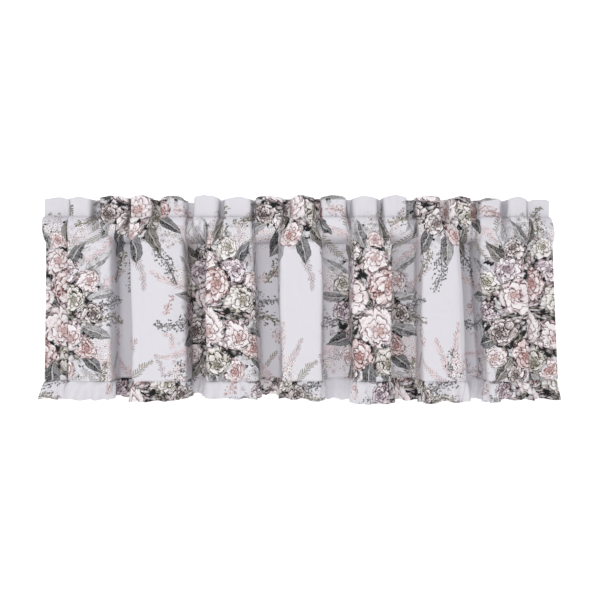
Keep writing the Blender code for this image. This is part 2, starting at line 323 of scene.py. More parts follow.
@dataclass
class HungCloth:
    """The hang of the whole cloth, from the waves of the frill to the folds of the panel."""

    drop: float = 0.457             # top edge to the free edge of the ruffle
    heading_height: float = 0.048   # frill above the rod pocket
    pocket_height: float = 0.056    # rod pocket, between its two rows of stitches
    ruffle_height: float = 0.0425   # strip gathered onto the hem
    flat_width: float = 1.98        # width of the cloth before it was gathered
    thickness: float = 0.0005       # one layer of the cloth
    layer_offset: float = 0.0012    # from the middle of the doubled heading to each layer
    hem_gap: float = 0.0007         # from a layer to the hem turned behind it
    side_hem: float = 0.012         # width of the hem at each side
    wave_depth: float = 0.018       # half the depth of the waves in the frill
    fold_depth: float = 0.037       # half the depth of the folds in the panel
    wave_bend: float = 0.018        # cloth taken up by a bend in the frill
    fold_bend: float = 0.019        # cloth taken up by a bend in the panel
    wave_lean: float = 0.004        # how far the side of a wave leans out towards the back
    fold_lean: float = 0.005        # how far the side of a fold leans out towards the back
    lean_share: float = 0.3         # most of a hollow's width that one leaning side may take
    full_hollow: float = 0.016      # width from which a hollow of the frill has its full depth
    crest_round: float = 0.0046     # how far the top edge falls from a wave's middle to its sides
    shoulder_fall: float = 0.30     # part of a fold's depth that a sloping shoulder falls back
    settle: float = 0.062           # height over which the waves turn into folds
    sway: float = 0.0016            # how far the folds wander sideways on their way down
    wander_x: tuple[float, float] = (21.0, 47.0)    # radians of that in a metre down, and across
    wander_y: tuple[float, float] = (16.0, -83.0)   # the same for how far they wander forwards
    wander_ends: float = 0.25       # how steeply it begins at the two ends of the valance
    slack_sway: float = 0.012       # how far the unevenness of the hanging cloth sways
    slack_down: float = 17.0        # radians of its sway in a metre down
    slack_along: float = 4.1        # radians in a metre along
    slack_bend: float = 3.0         # radians by which the second turns the first
    slack_even: float = 0.7         # part of its height that doesn't change
    channel_depth: float = 0.0011   # how far a row of stitches draws a layer in
    channel_width: float = 0.0017   # half the width of the channel along the stitches
    lower_channel: float = 0.45     # how deep the channel at the lower stitches is beside the upper
    normal_step: float = 4e-4       # share of the width over which a direction is measured
    ragged: Ripples = Ripples(0.0008, 0.029, 1.1)    # unevenness of the top edge
    slack: Ripples = Ripples(0.0014, 0.061, 0.9)     # unevenness of the hanging cloth
    upper_puckers: Puckers = Puckers(0.0022, 0.0125, 0.4, reach=0.009, slant=0.40)
    lower_puckers: Puckers = Puckers(0.0012, 0.0150, 1.7, reach=0.016, slant=0.40)
    hem_puckers: Puckers = Puckers(0.0005, 0.0140, 2.9)
    side_columns: tuple[float, ...] = (1.0, 0.66, 0.33, 0.08, 0.0)   # columns across a side hem
    side_behind: tuple[float, ...] = (1.0, 1.0, 1.0, 1.0, 0.5)       # how far each is behind
    heading: FoldLine = field(init=False)
    panel: FoldLine = field(init=False)

    def __post_init__(self) -> None:
        """Lead the two fold lines round their corners."""
        self.heading = self.frill_line()
        self.panel = self.panel_line()

    @property
    def upper_stitches(self) -> float:
        """Height of the pocket's upper row of stitches."""
        return -self.heading_height

    @property
    def lower_stitches(self) -> float:
        """Height of the pocket's lower row of stitches."""
        return self.upper_stitches - self.pocket_height

    @property
    def hem(self) -> float:
        """Height of the seam between the panel and the ruffle."""
        return self.ruffle_height - self.drop

    def frill_line(self) -> FoldLine:
        """Fold line of the frill: x, y and the height of the top edge."""
        corners = []
        for number, wave in enumerate(WAVES):
            front = -self.wave_depth * wave.front
            corners.append((wave.left, front, wave.crest - self.crest_round))
            corners.append((wave.right, front, wave.crest - self.crest_round))
            if number + 1 < len(WAVES):
                following = WAVES[number + 1]
                room = following.left - wave.right
                lean = min(self.wave_lean, self.lean_share * room)
                back = self.wave_depth * min(1.0, room / self.full_hollow)
                corners.append((wave.right + lean, back, wave.dip))
                corners.append((following.left - lean, back, wave.dip))
        return FoldLine(corners, self.wave_bend)

    def panel_line(self) -> FoldLine:
        """Fold line of the panel: x half way down, y, x at the pocket and x at the hem."""
        corners = []

        def corner(top: float, hem: float, depth: float) -> None:
            """Add one corner."""
            corners.append((0.5 * (top + hem), depth, top, hem))

        for number, fold in enumerate(FOLDS):
            front = -self.fold_depth * fold.front
            corner(fold.left_top, fold.left_hem, front)
            if fold.shoulder:
                corner(fold.right_top - fold.shoulder, fold.right_hem - fold.shoulder, front)
                front += self.shoulder_fall * self.fold_depth
            corner(fold.right_top, fold.right_hem, front)
            if number + 1 < len(FOLDS):
                following = FOLDS[number + 1]
                back = self.fold_depth * fold.hollow
                room = following.left_top - fold.right_top
                lean = min(self.fold_lean, self.lean_share * room)
                corner(fold.right_top + lean, fold.right_hem + lean, back)
                corner(following.left_top - lean, following.left_hem - lean, back)
        return FoldLine(corners, self.fold_bend)

    def top_edge(self, share: np.ndarray) -> np.ndarray:
        """Height of the top edge, which rises in an uneven curve to the middle of each wave."""
        line = self.heading.at(share)
        height = line[:, 2] + self.ragged.at(share * self.flat_width)
        for wave in WAVES:
            across = np.clip((line[:, 0] - wave.left) / (wave.right - wave.left), 0.0, 1.0)
            height = height + self.crest_round * 4.0 * across * (1.0 - across)
        return height

    def hang(self, share: np.ndarray, height: float | np.ndarray) -> np.ndarray:
        """Middle of the cloth, as x and y.

        Args:
            share: Shares of the cloth's width.
            height: Heights below the frill, one for all or one for each share.

        Returns:
            One row of x and y for each share.
        """
        wave = self.heading.at(share)
        fold = self.panel.at(share)
        settled = smooth((self.upper_stitches - height) / self.settle)
        down = np.clip((self.lower_stitches - height) / (self.lower_stitches - self.hem), 0.0, 1.0)
        fold_x = mix(fold[..., 2], fold[..., 3], down)
        x = mix(wave[..., 0], fold_x, settled)
        y = mix(wave[..., 1], fold[..., 1], settled)
        swing = self.sway * settled * np.sin(math.pi * share) ** self.wander_ends
        x = x + swing * np.sin(self.wander_x[0] * height + self.wander_x[1] * share)
        y = y + swing * np.sin(self.wander_y[0] * height + self.wander_y[1] * share)
        return np.stack([x, y], -1)

    def facing(self, share: np.ndarray, height: float | np.ndarray) -> np.ndarray:
        """Unit direction, as x and y, from the cloth towards the room.

        Args:
            share: Shares of the cloth's width.
            height: Heights below the frill.

        Returns:
            One row of x and y for each share.
        """
        ahead = self.hang(np.clip(share + self.normal_step, 0.0, 1.0), height)
        behind = self.hang(np.clip(share - self.normal_step, 0.0, 1.0), height)
        along = ahead - behind
        along /= np.linalg.norm(along, axis=-1, keepdims=True)
        return np.stack([along[..., 1], -along[..., 0]], -1)

    def relief(self, share: np.ndarray, height: float | np.ndarray) -> np.ndarray:
        """How far the cloth stands out from its fold: puckers at stitches, creases and slack.

        Args:
            share: Shares of the cloth's width.
            height: Heights below the top edge.

        Returns:
            One distance towards the room for each share.
        """
        along = share * self.flat_width
        height = height + 0.0 * along
        bend = self.slack_bend * np.sin(along * self.slack_along)
        swing = np.sin(height * self.slack_down + bend)
        out = self.slack.at(along + self.slack_sway * swing) * mix(swing, 1.0, self.slack_even)
        for puckers, stitches in (
            (self.hem_puckers, self.hem),
            (self.upper_puckers, self.upper_stitches),
            (self.lower_puckers, self.lower_stitches),
        ):
            out += puckers.beside(along, height - stitches)
        for crease in CREASES:
            down = (crease.upper - height) / (crease.upper - crease.lower)
            away = (along - crease.place - crease.slant * down) / crease.width
            held = smooth(4.0 * down) * smooth(4.0 * (1.0 - down))
            out -= crease.depth * held * np.exp(-away * away)
        return out

    def channel(self, share: np.ndarray, height: float | np.ndarray) -> np.ndarray:
        """How far the pocket's stitches draw each layer in, less over the thick side hems.

        Args:
            share: Shares of the cloth's width.
            height: Heights below the top edge.

        Returns:
            One distance for each share.
        """
        side = np.minimum(share, 1.0 - share) * self.flat_width
        thin = smooth((side - self.side_hem) / self.side_hem)
        upper = (height - self.upper_stitches) / self.channel_width
        lower = (height - self.lower_stitches) / self.channel_width
        drawn = np.exp(-upper * upper) + self.lower_channel * np.exp(-lower * lower)
        return self.channel_depth * thin * drawn

    def face(self, share: np.ndarray) -> Columns:
        """Columns on the face of the cloth, at the given shares of its width."""
        return Columns(share, np.zeros(len(share)), share * self.flat_width)

    def with_side_hems(self, share: np.ndarray) -> Columns:
        """Columns on the face of the cloth and on the hem turned behind each side.

        Args:
            share: Shares of the cloth's width at the columns of its face.

        Returns:
            The columns, from the end of one hem to the end of the other.
        """
        turned = np.array(self.side_columns) * self.side_hem / self.flat_width
        behind = np.array(self.side_behind)
        return Columns(
            np.concatenate([turned, share, 1.0 - turned[::-1]]),
            np.concatenate([behind, np.zeros(len(share)), behind[::-1]]),
            np.concatenate([-turned, share, 1.0 + turned[::-1]]) * self.flat_width,
        )


class StitchLine(NamedTuple):
    """Places on a sheet that a row of stitches goes through."""

    points: np.ndarray    # places on the middle of the sheet
    normals: np.ndarray   # unit directions out of the side on which the stitches show


def stitch_line(points: np.ndarray, along: np.ndarray, up: np.ndarray, side: int = 1) -> StitchLine:
    """A row of stitches on a sheet.

    Args:
        points: Places on the middle of the sheet.
        along: Direction along the sheet, to the right, at each place.
        up: Direction up the sheet at each place.
        side: 1 where the stitches show towards the room, -1 where they show at the back.

    Returns:
        The row.
    """
    normals = np.cross(along, up) * side
    return StitchLine(points, normals / np.linalg.norm(normals, axis=1, keepdims=True))


def graded(count: int, ends: float = 0.12) -> np.ndarray:
    """Shares from 0 to 1 that are closer together at both ends."""
    even = np.linspace(0.0, 1.0, count)
    return even - ends * np.sin(2.0 * np.pi * even)


def bent_grid(name: str, points: np.ndarray, flat: np.ndarray) -> bpy.types.Object:
    """A grid primitive bent to rows of points, which keeps where each was on the flat cloth.

    Args:
        name: Name of the piece.
        points: Place of each vertex, by row and column, with rows upwards on the room's side.
        flat: Place of each vertex on the flat cloth, by row and column.

    Returns:
        The piece.
    """
    rows, columns = points.shape[:2]
    bpy.ops.object.select_all(action="DESELECT")
    bpy.ops.mesh.primitive_grid_add(x_subdivisions=columns - 1, y_subdivisions=rows - 1, size=1.0)
    piece = bpy.context.object
    piece.name = name
    mesh = piece.data
    mesh.name = name
    start = np.empty(len(mesh.vertices) * 3)
    mesh.vertices.foreach_get("co", start)
    start = start.reshape(-1, 3)
    column = np.rint((start[:, 0] + 0.5) * (columns - 1)).astype(int)
    row = np.rint((start[:, 1] + 0.5) * (rows - 1)).astype(int)
    mesh.vertices.foreach_set("co", points[row, column].ravel())
    corner = np.empty(len(mesh.loops), dtype=np.int32)
    mesh.loops.foreach_get("vertex_index", corner)
    layer = mesh.uv_layers[0]
    layer.name = UV_NAME
    layer.uv.foreach_set("vector", flat[row[corner], column[corner]].ravel())
    mesh.update()
    return piece


class Finishes(NamedTuple):
    """Materials of the two sides of a sheet."""

    right: bpy.types.Material
    wrong: bpy.types.Material


def report(piece: bpy.types.Object) -> None:
    """Log what a piece measures."""
    size = ", ".join(f"{1000.0 * side:.1f}" for side in piece.dimensions)
    LOG.info("%s: %d faces, %s mm", piece.name, len(piece.data.polygons), size)


@dataclass
class SewnSheet:
    """One of the sheets that the valance is sewn from, with its stitches."""

    cloth: HungCloth
    columns: int = 700          # steps from one side of its face to the other
    run: float = 0.004          # cloth along which one more column goes in
    turn: float = 0.5           # turn in radians for which one more column goes in
    stitch_places: int = 6000   # places at which a row of stitches is measured
    smooth_under: float = 55.0  # angle in degrees under which an edge is smooth
    node: ClassVar[str]         # CAD node that it replaces
    slot: ClassVar[str]         # slot name for its finish, which nothing in this script reads

    def line(self) -> FoldLine:
        """Fold line along which its columns are spread."""
        return self.cloth.panel

    def cut(self) -> tuple[float, float]:
        """Width and height of the flat cloth that it is cut from."""
        raise NotImplementedError

    def rows(self, at: Columns) -> tuple[np.ndarray, np.ndarray]:
        """Points of the sheet by row and column, and each row's height on the flat cloth."""
        raise NotImplementedError

    def stitch_lines(self) -> list[StitchLine]:
        """Its rows of stitches."""
        raise NotImplementedError

    def face(self) -> Columns:
        """Close columns across its face, along which stitches are set."""
        return self.cloth.face(np.linspace(0.001, 0.999, self.stitch_places))

    def build(self, finishes: Finishes) -> bpy.types.Object:
        """Make the sheet: a bent grid with its materials, which then gets its thickness.

        Args:
            finishes: Materials of its two sides.

        Returns:
            The piece.
        """
        share = self.line().columns(self.columns, self.run, self.turn)
        at = self.cloth.with_side_hems(share)
        points, heights = self.rows(at)
        stretch = self.cut()[0] / self.cloth.flat_width
        along = np.broadcast_to(at.along * stretch, points.shape[:2])
        flat = np.stack([along, np.broadcast_to(heights[:, None], along.shape)], -1)
        piece = bent_grid(f"{self.node}_cloth", points, flat)
        for material in finishes:
            piece.data.materials.append(material)
        wall = piece.modifiers.new("layer", "SOLIDIFY")
        wall.thickness = self.cloth.thickness
        wall.offset = 0.0
        wall.material_offset = 1
        bpy.ops.object.modifier_apply(modifier=wall.name)
        bpy.ops.object.shade_smooth_by_angle(angle=math.radians(self.smooth_under))
        return piece

    def sew(self, finishes: Finishes, thread: bpy.types.Material) -> None:
        """Make the sheet and its stitches, hang them on the root body, log them and hide the CAD part.

        Args:
            finishes: Materials of the sheet's two sides.
            thread: Material of the stitches.
        """
        piece = self.build(finishes)
        stitches = Stitches(f"{self.node}_stitches").build(self.stitch_lines())
        stitches.data.materials.append(thread)
        for part in (piece, stitches):
            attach(part, "root")
            report(part)
        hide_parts(self.node)


@dataclass
class Heading(SewnSheet):
    """The frill and the rod pocket: a strip that goes up the front, over the top and down the back."""

    node: ClassVar[str] = "heading"
    slot: ClassVar[str] = "heading_cloth"
    pocket_clear: float = 0.016    # least distance from the middle of the pocket to its cloth
    pocket_wave: float = 0.020     # further depth of the gathers around the pocket
    upper_round: float = 0.30      # how fast the pocket opens at the top, less than 1 for squarer
    lower_round: float = 0.60      # how fast it closes at the bottom
    pleat: float = 0.009           # creases down the pocket's front below the frill's hollows
    pleat_narrow: float = 3.0      # more for narrower creases
    pleat_fade: float = 1.3        # how low they reach, less than 1 for shorter ones
    below: float = 0.004           # how far the back layer reaches below the lower stitches
    sag: Ripples = Ripples(0.55, 0.071, 1.9)         # how unevenly it closes at the bottom
    ripple: Ripples = Ripples(0.0016, 0.027, 1.3)    # small ripples along the top edge
    lean: Ripples = Ripples(0.0022, 0.093, 2.6)      # lean of the waves at the top
    frill_step: float = 0.02       # share of the frill over which a stitch's way up is measured
    pocket_step: float = 0.01      # the same for the pocket
    front_rows: int = 17
    frill_rows: int = 13
    crest_rows: int = 5
    back_rows: int = 11

    def line(self) -> FoldLine:
        """Fold line along which its columns are spread."""
        return self.cloth.heading

    def cut(self) -> tuple[float, float]:
        """Width and height of the flat cloth that it is cut from."""
        height = self.cloth.heading_height + self.cloth.pocket_height
        return self.cloth.flat_width, round(2.0 * height + self.below, 6)

    def pocket(self, at: Columns, down: float, side: int) -> np.ndarray:
        """Row of the pocket.

        Args:
            at: The columns.
            down: Share of the way from the upper to the lower stitches.
            side: 1 for the front layer, -1 for the back layer.

        Returns:
            One point for each column.
        """
        cloth = self.cloth
        height = cloth.upper_stitches - cloth.pocket_height * down
        middle = cloth.hang(at.share, height)
        normal = cloth.facing(at.share, height)
        settled = smooth(np.array(cloth.pocket_height * down / cloth.settle))
        half_depth = mix(cloth.wave_depth, cloth.fold_depth, settled)
        outward = np.clip(0.5 - 0.5 * side * middle[:, 1] / half_depth, 0.0, 1.0)
        opened = -side * (self.pocket_clear + self.pocket_wave * outward)
        if side > 0:
            hollow = np.clip(cloth.heading.at(at.share)[:, 1] / cloth.wave_depth, 0.0, 1.0)
            fade = smooth(np.array(self.pleat_fade * (1.0 - down)))
            opened += self.pleat * hollow ** self.pleat_narrow * fade
        sagging = 1.0 + self.sag.at(at.share * cloth.flat_width)
        roundness = mix(self.upper_round, self.lower_round * sagging, down)
        bulge = max(math.sin(math.pi * min(down, 1.0)), 0.0) ** roundness
        layer = cloth.layer_offset - cloth.channel(at.share, height) - at.behind * cloth.hem_gap
        out = side * layer + cloth.relief(at.share, height)
        place = middle + normal * out[:, None]
        place[:, 1] = mix(place[:, 1], opened + side * at.behind * cloth.hem_gap, bulge)
        return np.column_stack([place, np.full(len(place), height)])

    def frill(self, at: Columns, down: float, turn: float) -> np.ndarray:
        """Row of the frill.

        Args:
            at: The columns.
            down: Share of the way from the top edge to the upper stitches.
            turn: How far the strip has gone over the top, 0 for the front and pi for the back.

        Returns:
            One point for each column.
        """
        cloth = self.cloth
        middle = cloth.hang(at.share, cloth.upper_stitches)
        normal = cloth.facing(at.share, cloth.upper_stitches)
        top = cloth.top_edge(at.share) - cloth.layer_offset
        height = mix(top, cloth.upper_stitches, down)
        radius = cloth.layer_offset - at.behind * cloth.hem_gap
        layer = radius - cloth.channel(at.share, height)
        out = layer * math.cos(turn) + cloth.relief(at.share, height)
        along = at.share * cloth.flat_width
        risen = 1.0 - down
        out += self.ripple.at(along) * risen * risen
        place = middle + normal * out[:, None]
        place[:, 0] += self.lean.at(along) * risen
        return np.column_stack([place, height + radius * math.sin(turn)])

    def rows(self, at: Columns) -> tuple[np.ndarray, np.ndarray]:
        """Rows of the strip.

        Args:
            at: The columns.

        Returns:
            The points, and the height of each row on the flat cloth.
        """
        cloth = self.cloth
        points = []
        heights = []
        for down in graded(self.front_rows)[::-1]:
            points.append(self.pocket(at, down, 1))
            heights.append(cloth.upper_stitches - cloth.pocket_height * down)
        for down in graded(self.frill_rows)[-2::-1]:
            points.append(self.frill(at, down, 0.0))
            heights.append(cloth.upper_stitches * down)
        for turn in np.linspace(0.0, math.pi, self.crest_rows + 2)[1:-1]:
            points.append(self.frill(at, 0.0, turn))
            heights.append(cloth.layer_offset * turn)
        for down in graded(self.frill_rows)[:-1]:
            points.append(self.frill(at, down, math.pi))
            heights.append(-cloth.upper_stitches * down)
        for down in graded(self.back_rows):
            points.append(self.pocket(at, down, -1))
            heights.append(cloth.heading_height + cloth.pocket_height * down)
        points.append(points[-1] - np.array([0.0, 0.0, self.below]))
        heights.append(heights[-1] + self.below)
        return np.stack(points), np.array(heights)

    def stitch_lines(self) -> list[StitchLine]:
        """The pocket's two rows of stitches, on the front and on the back."""
        at = self.face()
        lines = []
        for side, turn in ((1, 0.0), (-1, math.pi)):
            for make, way, step in (
                (self.frill, turn, self.frill_step),
                (self.pocket, side, self.pocket_step),
            ):
                points = make(at, 1.0, way)
                higher = make(at, 1.0 - step, way)
                along = np.gradient(points, axis=0)
                lines.append(stitch_line(points, along, higher - points, side))
        return lines


@dataclass
class Panel(SewnSheet):
    """The body of the valance, from the pocket's lower stitches to the hem."""

    node: ClassVar[str] = "panel"
    slot: ClassVar[str] = "panel_cloth"
    columns: int = 740
    row_count: int = 58
    flush: float = 0.020      # height over which the panel leaves the front of the heading
    tuck: float = 0.0048      # how far the panel turns back into the hem's seam
    tuck_height: float = 0.0018
    top_stitch: float = 0.0035   # from the hem's seam up to the stitches above it
    hem_stitch: float = 0.010    # from the side edge to the stitches of the side hem
    stitch_end: float = 0.004    # from the seams to the ends of those stitches
    stitch_steps: int = 160      # places down the side hem at which they are measured
    stitch_up: float = 0.001     # height over which a stitch's way up is measured
    beside: float = 0.0005       # share of the width over which a stitch's way along is measured

    def cut(self) -> tuple[float, float]:
        """Width and height of the flat cloth that it is cut from."""
        return self.cloth.flat_width, round(self.cloth.lower_stitches - self.cloth.hem, 6)

    def row(self, at: Columns, height: float) -> np.ndarray:
        """Row of the panel.

        Args:
            at: The columns.
            height: Height of the row.

        Returns:
            One point for each column.
        """
        cloth = self.cloth
        middle = cloth.hang(at.share, height)
        normal = cloth.facing(at.share, height)
        lead = 1.0 - smooth(np.array((cloth.lower_stitches - height) / self.flush))
        tucked = math.exp(-(((height - cloth.hem) / self.tuck_height) ** 2))
        out = cloth.layer_offset * lead - self.tuck * tucked - at.behind * cloth.hem_gap
        out -= cloth.channel(at.share, height)
        place = middle + normal * (out + cloth.relief(at.share, height))[:, None]
        return np.column_stack([place, np.full(len(place), height)])

    def rows(self, at: Columns) -> tuple[np.ndarray, np.ndarray]:
        """Rows of the panel, from the hem up.

        Args:
            at: The columns.

        Returns:
            The points, and the height of each row on the flat cloth.
        """
        heights = mix(self.cloth.hem, self.cloth.lower_stitches, graded(self.row_count))
        return np.stack([self.row(at, height) for height in heights]), heights

    def stitch_lines(self) -> list[StitchLine]:
        """The rows of stitches above the hem's seam and down the two side hems."""
        cloth = self.cloth
        at = self.face()
        height = cloth.hem + self.top_stitch
        points = self.row(at, height)
        above = self.row(at, height + self.stitch_up)
        lines = [stitch_line(points, np.gradient(points, axis=0), above - points)]
        inset = self.hem_stitch / cloth.flat_width
        ends = (cloth.hem + self.stitch_end, cloth.lower_stitches - self.stitch_end)
        heights = np.linspace(*ends, self.stitch_steps)
        for share in (inset, 1.0 - inset):
            beside = cloth.face(share + np.array([-self.beside, 0.0, self.beside]))
            grid = np.stack([self.row(beside, float(height)) for height in heights])
            along = grid[:, 2] - grid[:, 0]
            lines.append(stitch_line(grid[:, 1], along, np.gradient(grid[:, 1], axis=0)))
        return lines


@dataclass
class HemRuffle(SewnSheet):
    """The strip gathered onto the hem."""

    node: ClassVar[str] = "hem_ruffle"
    slot: ClassVar[str] = "ruffle_cloth"
    columns: int = 1500
    run: float = 0.003
    turn: float = 0.8
    flat_width: float = 2.40        # width of the strip before it was gathered
    stand: float = 0.0015           # gathers just below the seam, half the depth
    flute: float = 0.0080           # gathers at the free edge, half the depth
    spread: float = 0.010           # part by which the free edge is longer than the hem
    end_flick: float = 0.006        # how far the two ends stand out
    end_reach: float = 0.030        # part of the strip that stands out at an end
    tuck: float = 0.0056            # how far its top turns back into the seam
    allowance: float = 0.009        # height of the seam's edge behind the panel
    rolled_hem: float = 0.006       # height of the hem turned behind the free edge
    pinch: float = 0.0056           # narrow creases that run down from the seam
    pleat: float = 0.0095           # deeper creases between the gathers
    flute_round: float = 0.75       # less than 1 for rounder gathers at the free edge
    pinch_sharp: float = 3.0        # more for narrower creases
    pleat_sharp: float = 6.0
    soft_least: float = 0.3         # height of the soft folds at the seam
    soft_high: float = 0.7          # less than 1 for their highest place nearer to the seam
    tuck_reach: float = 0.06        # this and the next are shares of the height below the seam,
    seam_reach: float = 0.07        # over which the strip leaves the seam,
    pucker_reach: float = 0.30      # the small puckers fade,
    pinch_reach: float = 0.40       # the narrow creases fade
    pleat_reach: float = 0.50       # and the deeper creases fade
    fine_puckers: Ripples = Ripples(0.0010, 0.0135, 5.1)   # small puckers just below the seam
    soft_folds: Ripples = Ripples(0.0018, 0.0235, 3.3)     # folds between puckers and gathers
    pinches: Ripples = Ripples(1.0, 0.0190, 4.4)           # places of the narrow creases
    edge_wave: Ripples = Ripples(0.0020, 0.043, 2.2)       # ups and downs of the free edge
    stitch_place: float = 0.8       # where its stitches run, as a share of the rolled hem
    stitch_up: float = 0.02         # share of the height by which a stitch's way up is measured
    soft_slant: float = 0.01        # how far the soft folds lean on their way down
    pinch_slant: float = -0.004     # how far the narrow creases do
    row_count: int = 19
    pitches: tuple[float, ...] = (0.046, 0.038, 0.052, 0.034, 0.044, 0.056, 0.040)
    depths: tuple[float, ...] = (1.00, 0.75, 1.10, 0.60, 0.90)

    def cut(self) -> tuple[float, float]:
        """Width and height of the flat cloth that it is cut from."""
        return self.flat_width, round(self.cloth.ruffle_height + self.allowance + self.rolled_hem, 6)

    def gathers(self, share: np.ndarray) -> np.ndarray:
        """How far the strip stands forward, from -1 to 1, by its uneven gathers."""
        length = self.cloth.panel.length
        places = [0.0]
        while places[-1] < length:
            places.append(places[-1] + self.pitches[(len(places) - 1) % len(self.pitches)])
        turns = np.interp(share * length, places, np.arange(len(places)))
        depths = np.array([self.depths[n % len(self.depths)] for n in range(len(places))])
        return np.cos(2.0 * np.pi * turns) * np.interp(turns, np.arange(len(places)), depths)

    def free_edge(self, share: np.ndarray) -> np.ndarray:
        """Height of the free edge at shares of the cloth's width."""
        middle = self.cloth.hang(share, self.cloth.hem)
        edge = np.array(HEM_LENGTHS)
        wave = self.edge_wave.at(share * self.cloth.flat_width)
        return wave - np.interp(middle[:, 0], edge[:, 0], edge[:, 1])

    def row(self, at: Columns, down: float, behind: float) -> np.ndarray:
        """Row of the strip.

        Args:
            at: The columns.
            down: Share of the way from the seam to the free edge, less than 0 above the seam.
            behind: How far the row lies behind the strip's face.

        Returns:
            One point for each column.
        """
        cloth = self.cloth
        share = at.share
        middle = cloth.hang(share, cloth.hem)
        normal = cloth.facing(share, cloth.hem)
        low = max(down, 0.0)
        along = share * cloth.flat_width
        gathers = self.gathers(share)
        rounded = np.sign(gathers) * np.abs(gathers) ** self.flute_round
        out = mix(self.stand, self.flute, low) * mix(gathers, rounded, low)
        pleated = np.clip(-gathers, 0.0, 1.0) ** self.pleat_sharp
        out -= self.pleat * math.exp(-low / self.pleat_reach) * pleated
        out += self.fine_puckers.at(along) * math.exp(-low / self.pucker_reach)
        swell = math.sin(math.pi * min(low, 1.0) ** self.soft_high)
        out += self.soft_folds.at(along + self.soft_slant * low) * (self.soft_least + swell)
        pinched = np.clip(self.pinches.at(along + self.pinch_slant * low), 0.0, 1.0)
        pinched = pinched ** self.pinch_sharp
        out -= self.pinch * math.exp(-low / self.pinch_reach) * pinched
        out *= 1.0 - math.exp(-low / self.seam_reach)
        out -= self.tuck * math.exp(-low / self.tuck_reach)
        out -= behind + at.behind * cloth.hem_gap
        place = middle + normal * out[:, None]
        ends = np.exp(-(1.0 - share) / self.end_reach) - np.exp(-share / self.end_reach)
        place[:, 0] += low * (self.spread * middle[:, 0] + self.end_flick * ends)
        height = mix(cloth.hem, self.free_edge(share), down)
        return np.column_stack([place, height])

    def rows(self, at: Columns) -> tuple[np.ndarray, np.ndarray]:
        """Rows of the strip, from its turned hem round the free edge and up past the seam.

        Args:
            at: The columns.

        Returns:
            The points, and the height of each row on the flat cloth.
        """
        cloth = self.cloth
        up = self.allowance / cloth.ruffle_height
        roll = self.rolled_hem / cloth.ruffle_height
        steps = [(1.0 - roll, cloth.hem_gap), (1.0 - 0.5 * roll, cloth.hem_gap)]
        steps += [(0.995, cloth.hem_gap), (1.002, 0.5 * cloth.hem_gap)]
        steps += [(down, 0.0) for down in graded(self.row_count, 0.08)[::-1]]
        steps += [(-0.25 * up, cloth.hem_gap), (-up, cloth.hem_gap)]
        points = np.stack([self.row(at, down, behind) for down, behind in steps])
        return points, np.array([-down for down, _ in steps]) * cloth.ruffle_height

    def stitch_lines(self) -> list[StitchLine]:
        """The row of stitches of the rolled hem."""
        at = self.face()
        down = 1.0 - self.stitch_place * self.rolled_hem / self.cloth.ruffle_height
        points = self.row(at, down, 0.0)
        above = self.row(at, down - self.stitch_up, 0.0)
        return [stitch_line(points, np.gradient(points, axis=0), above - points)]


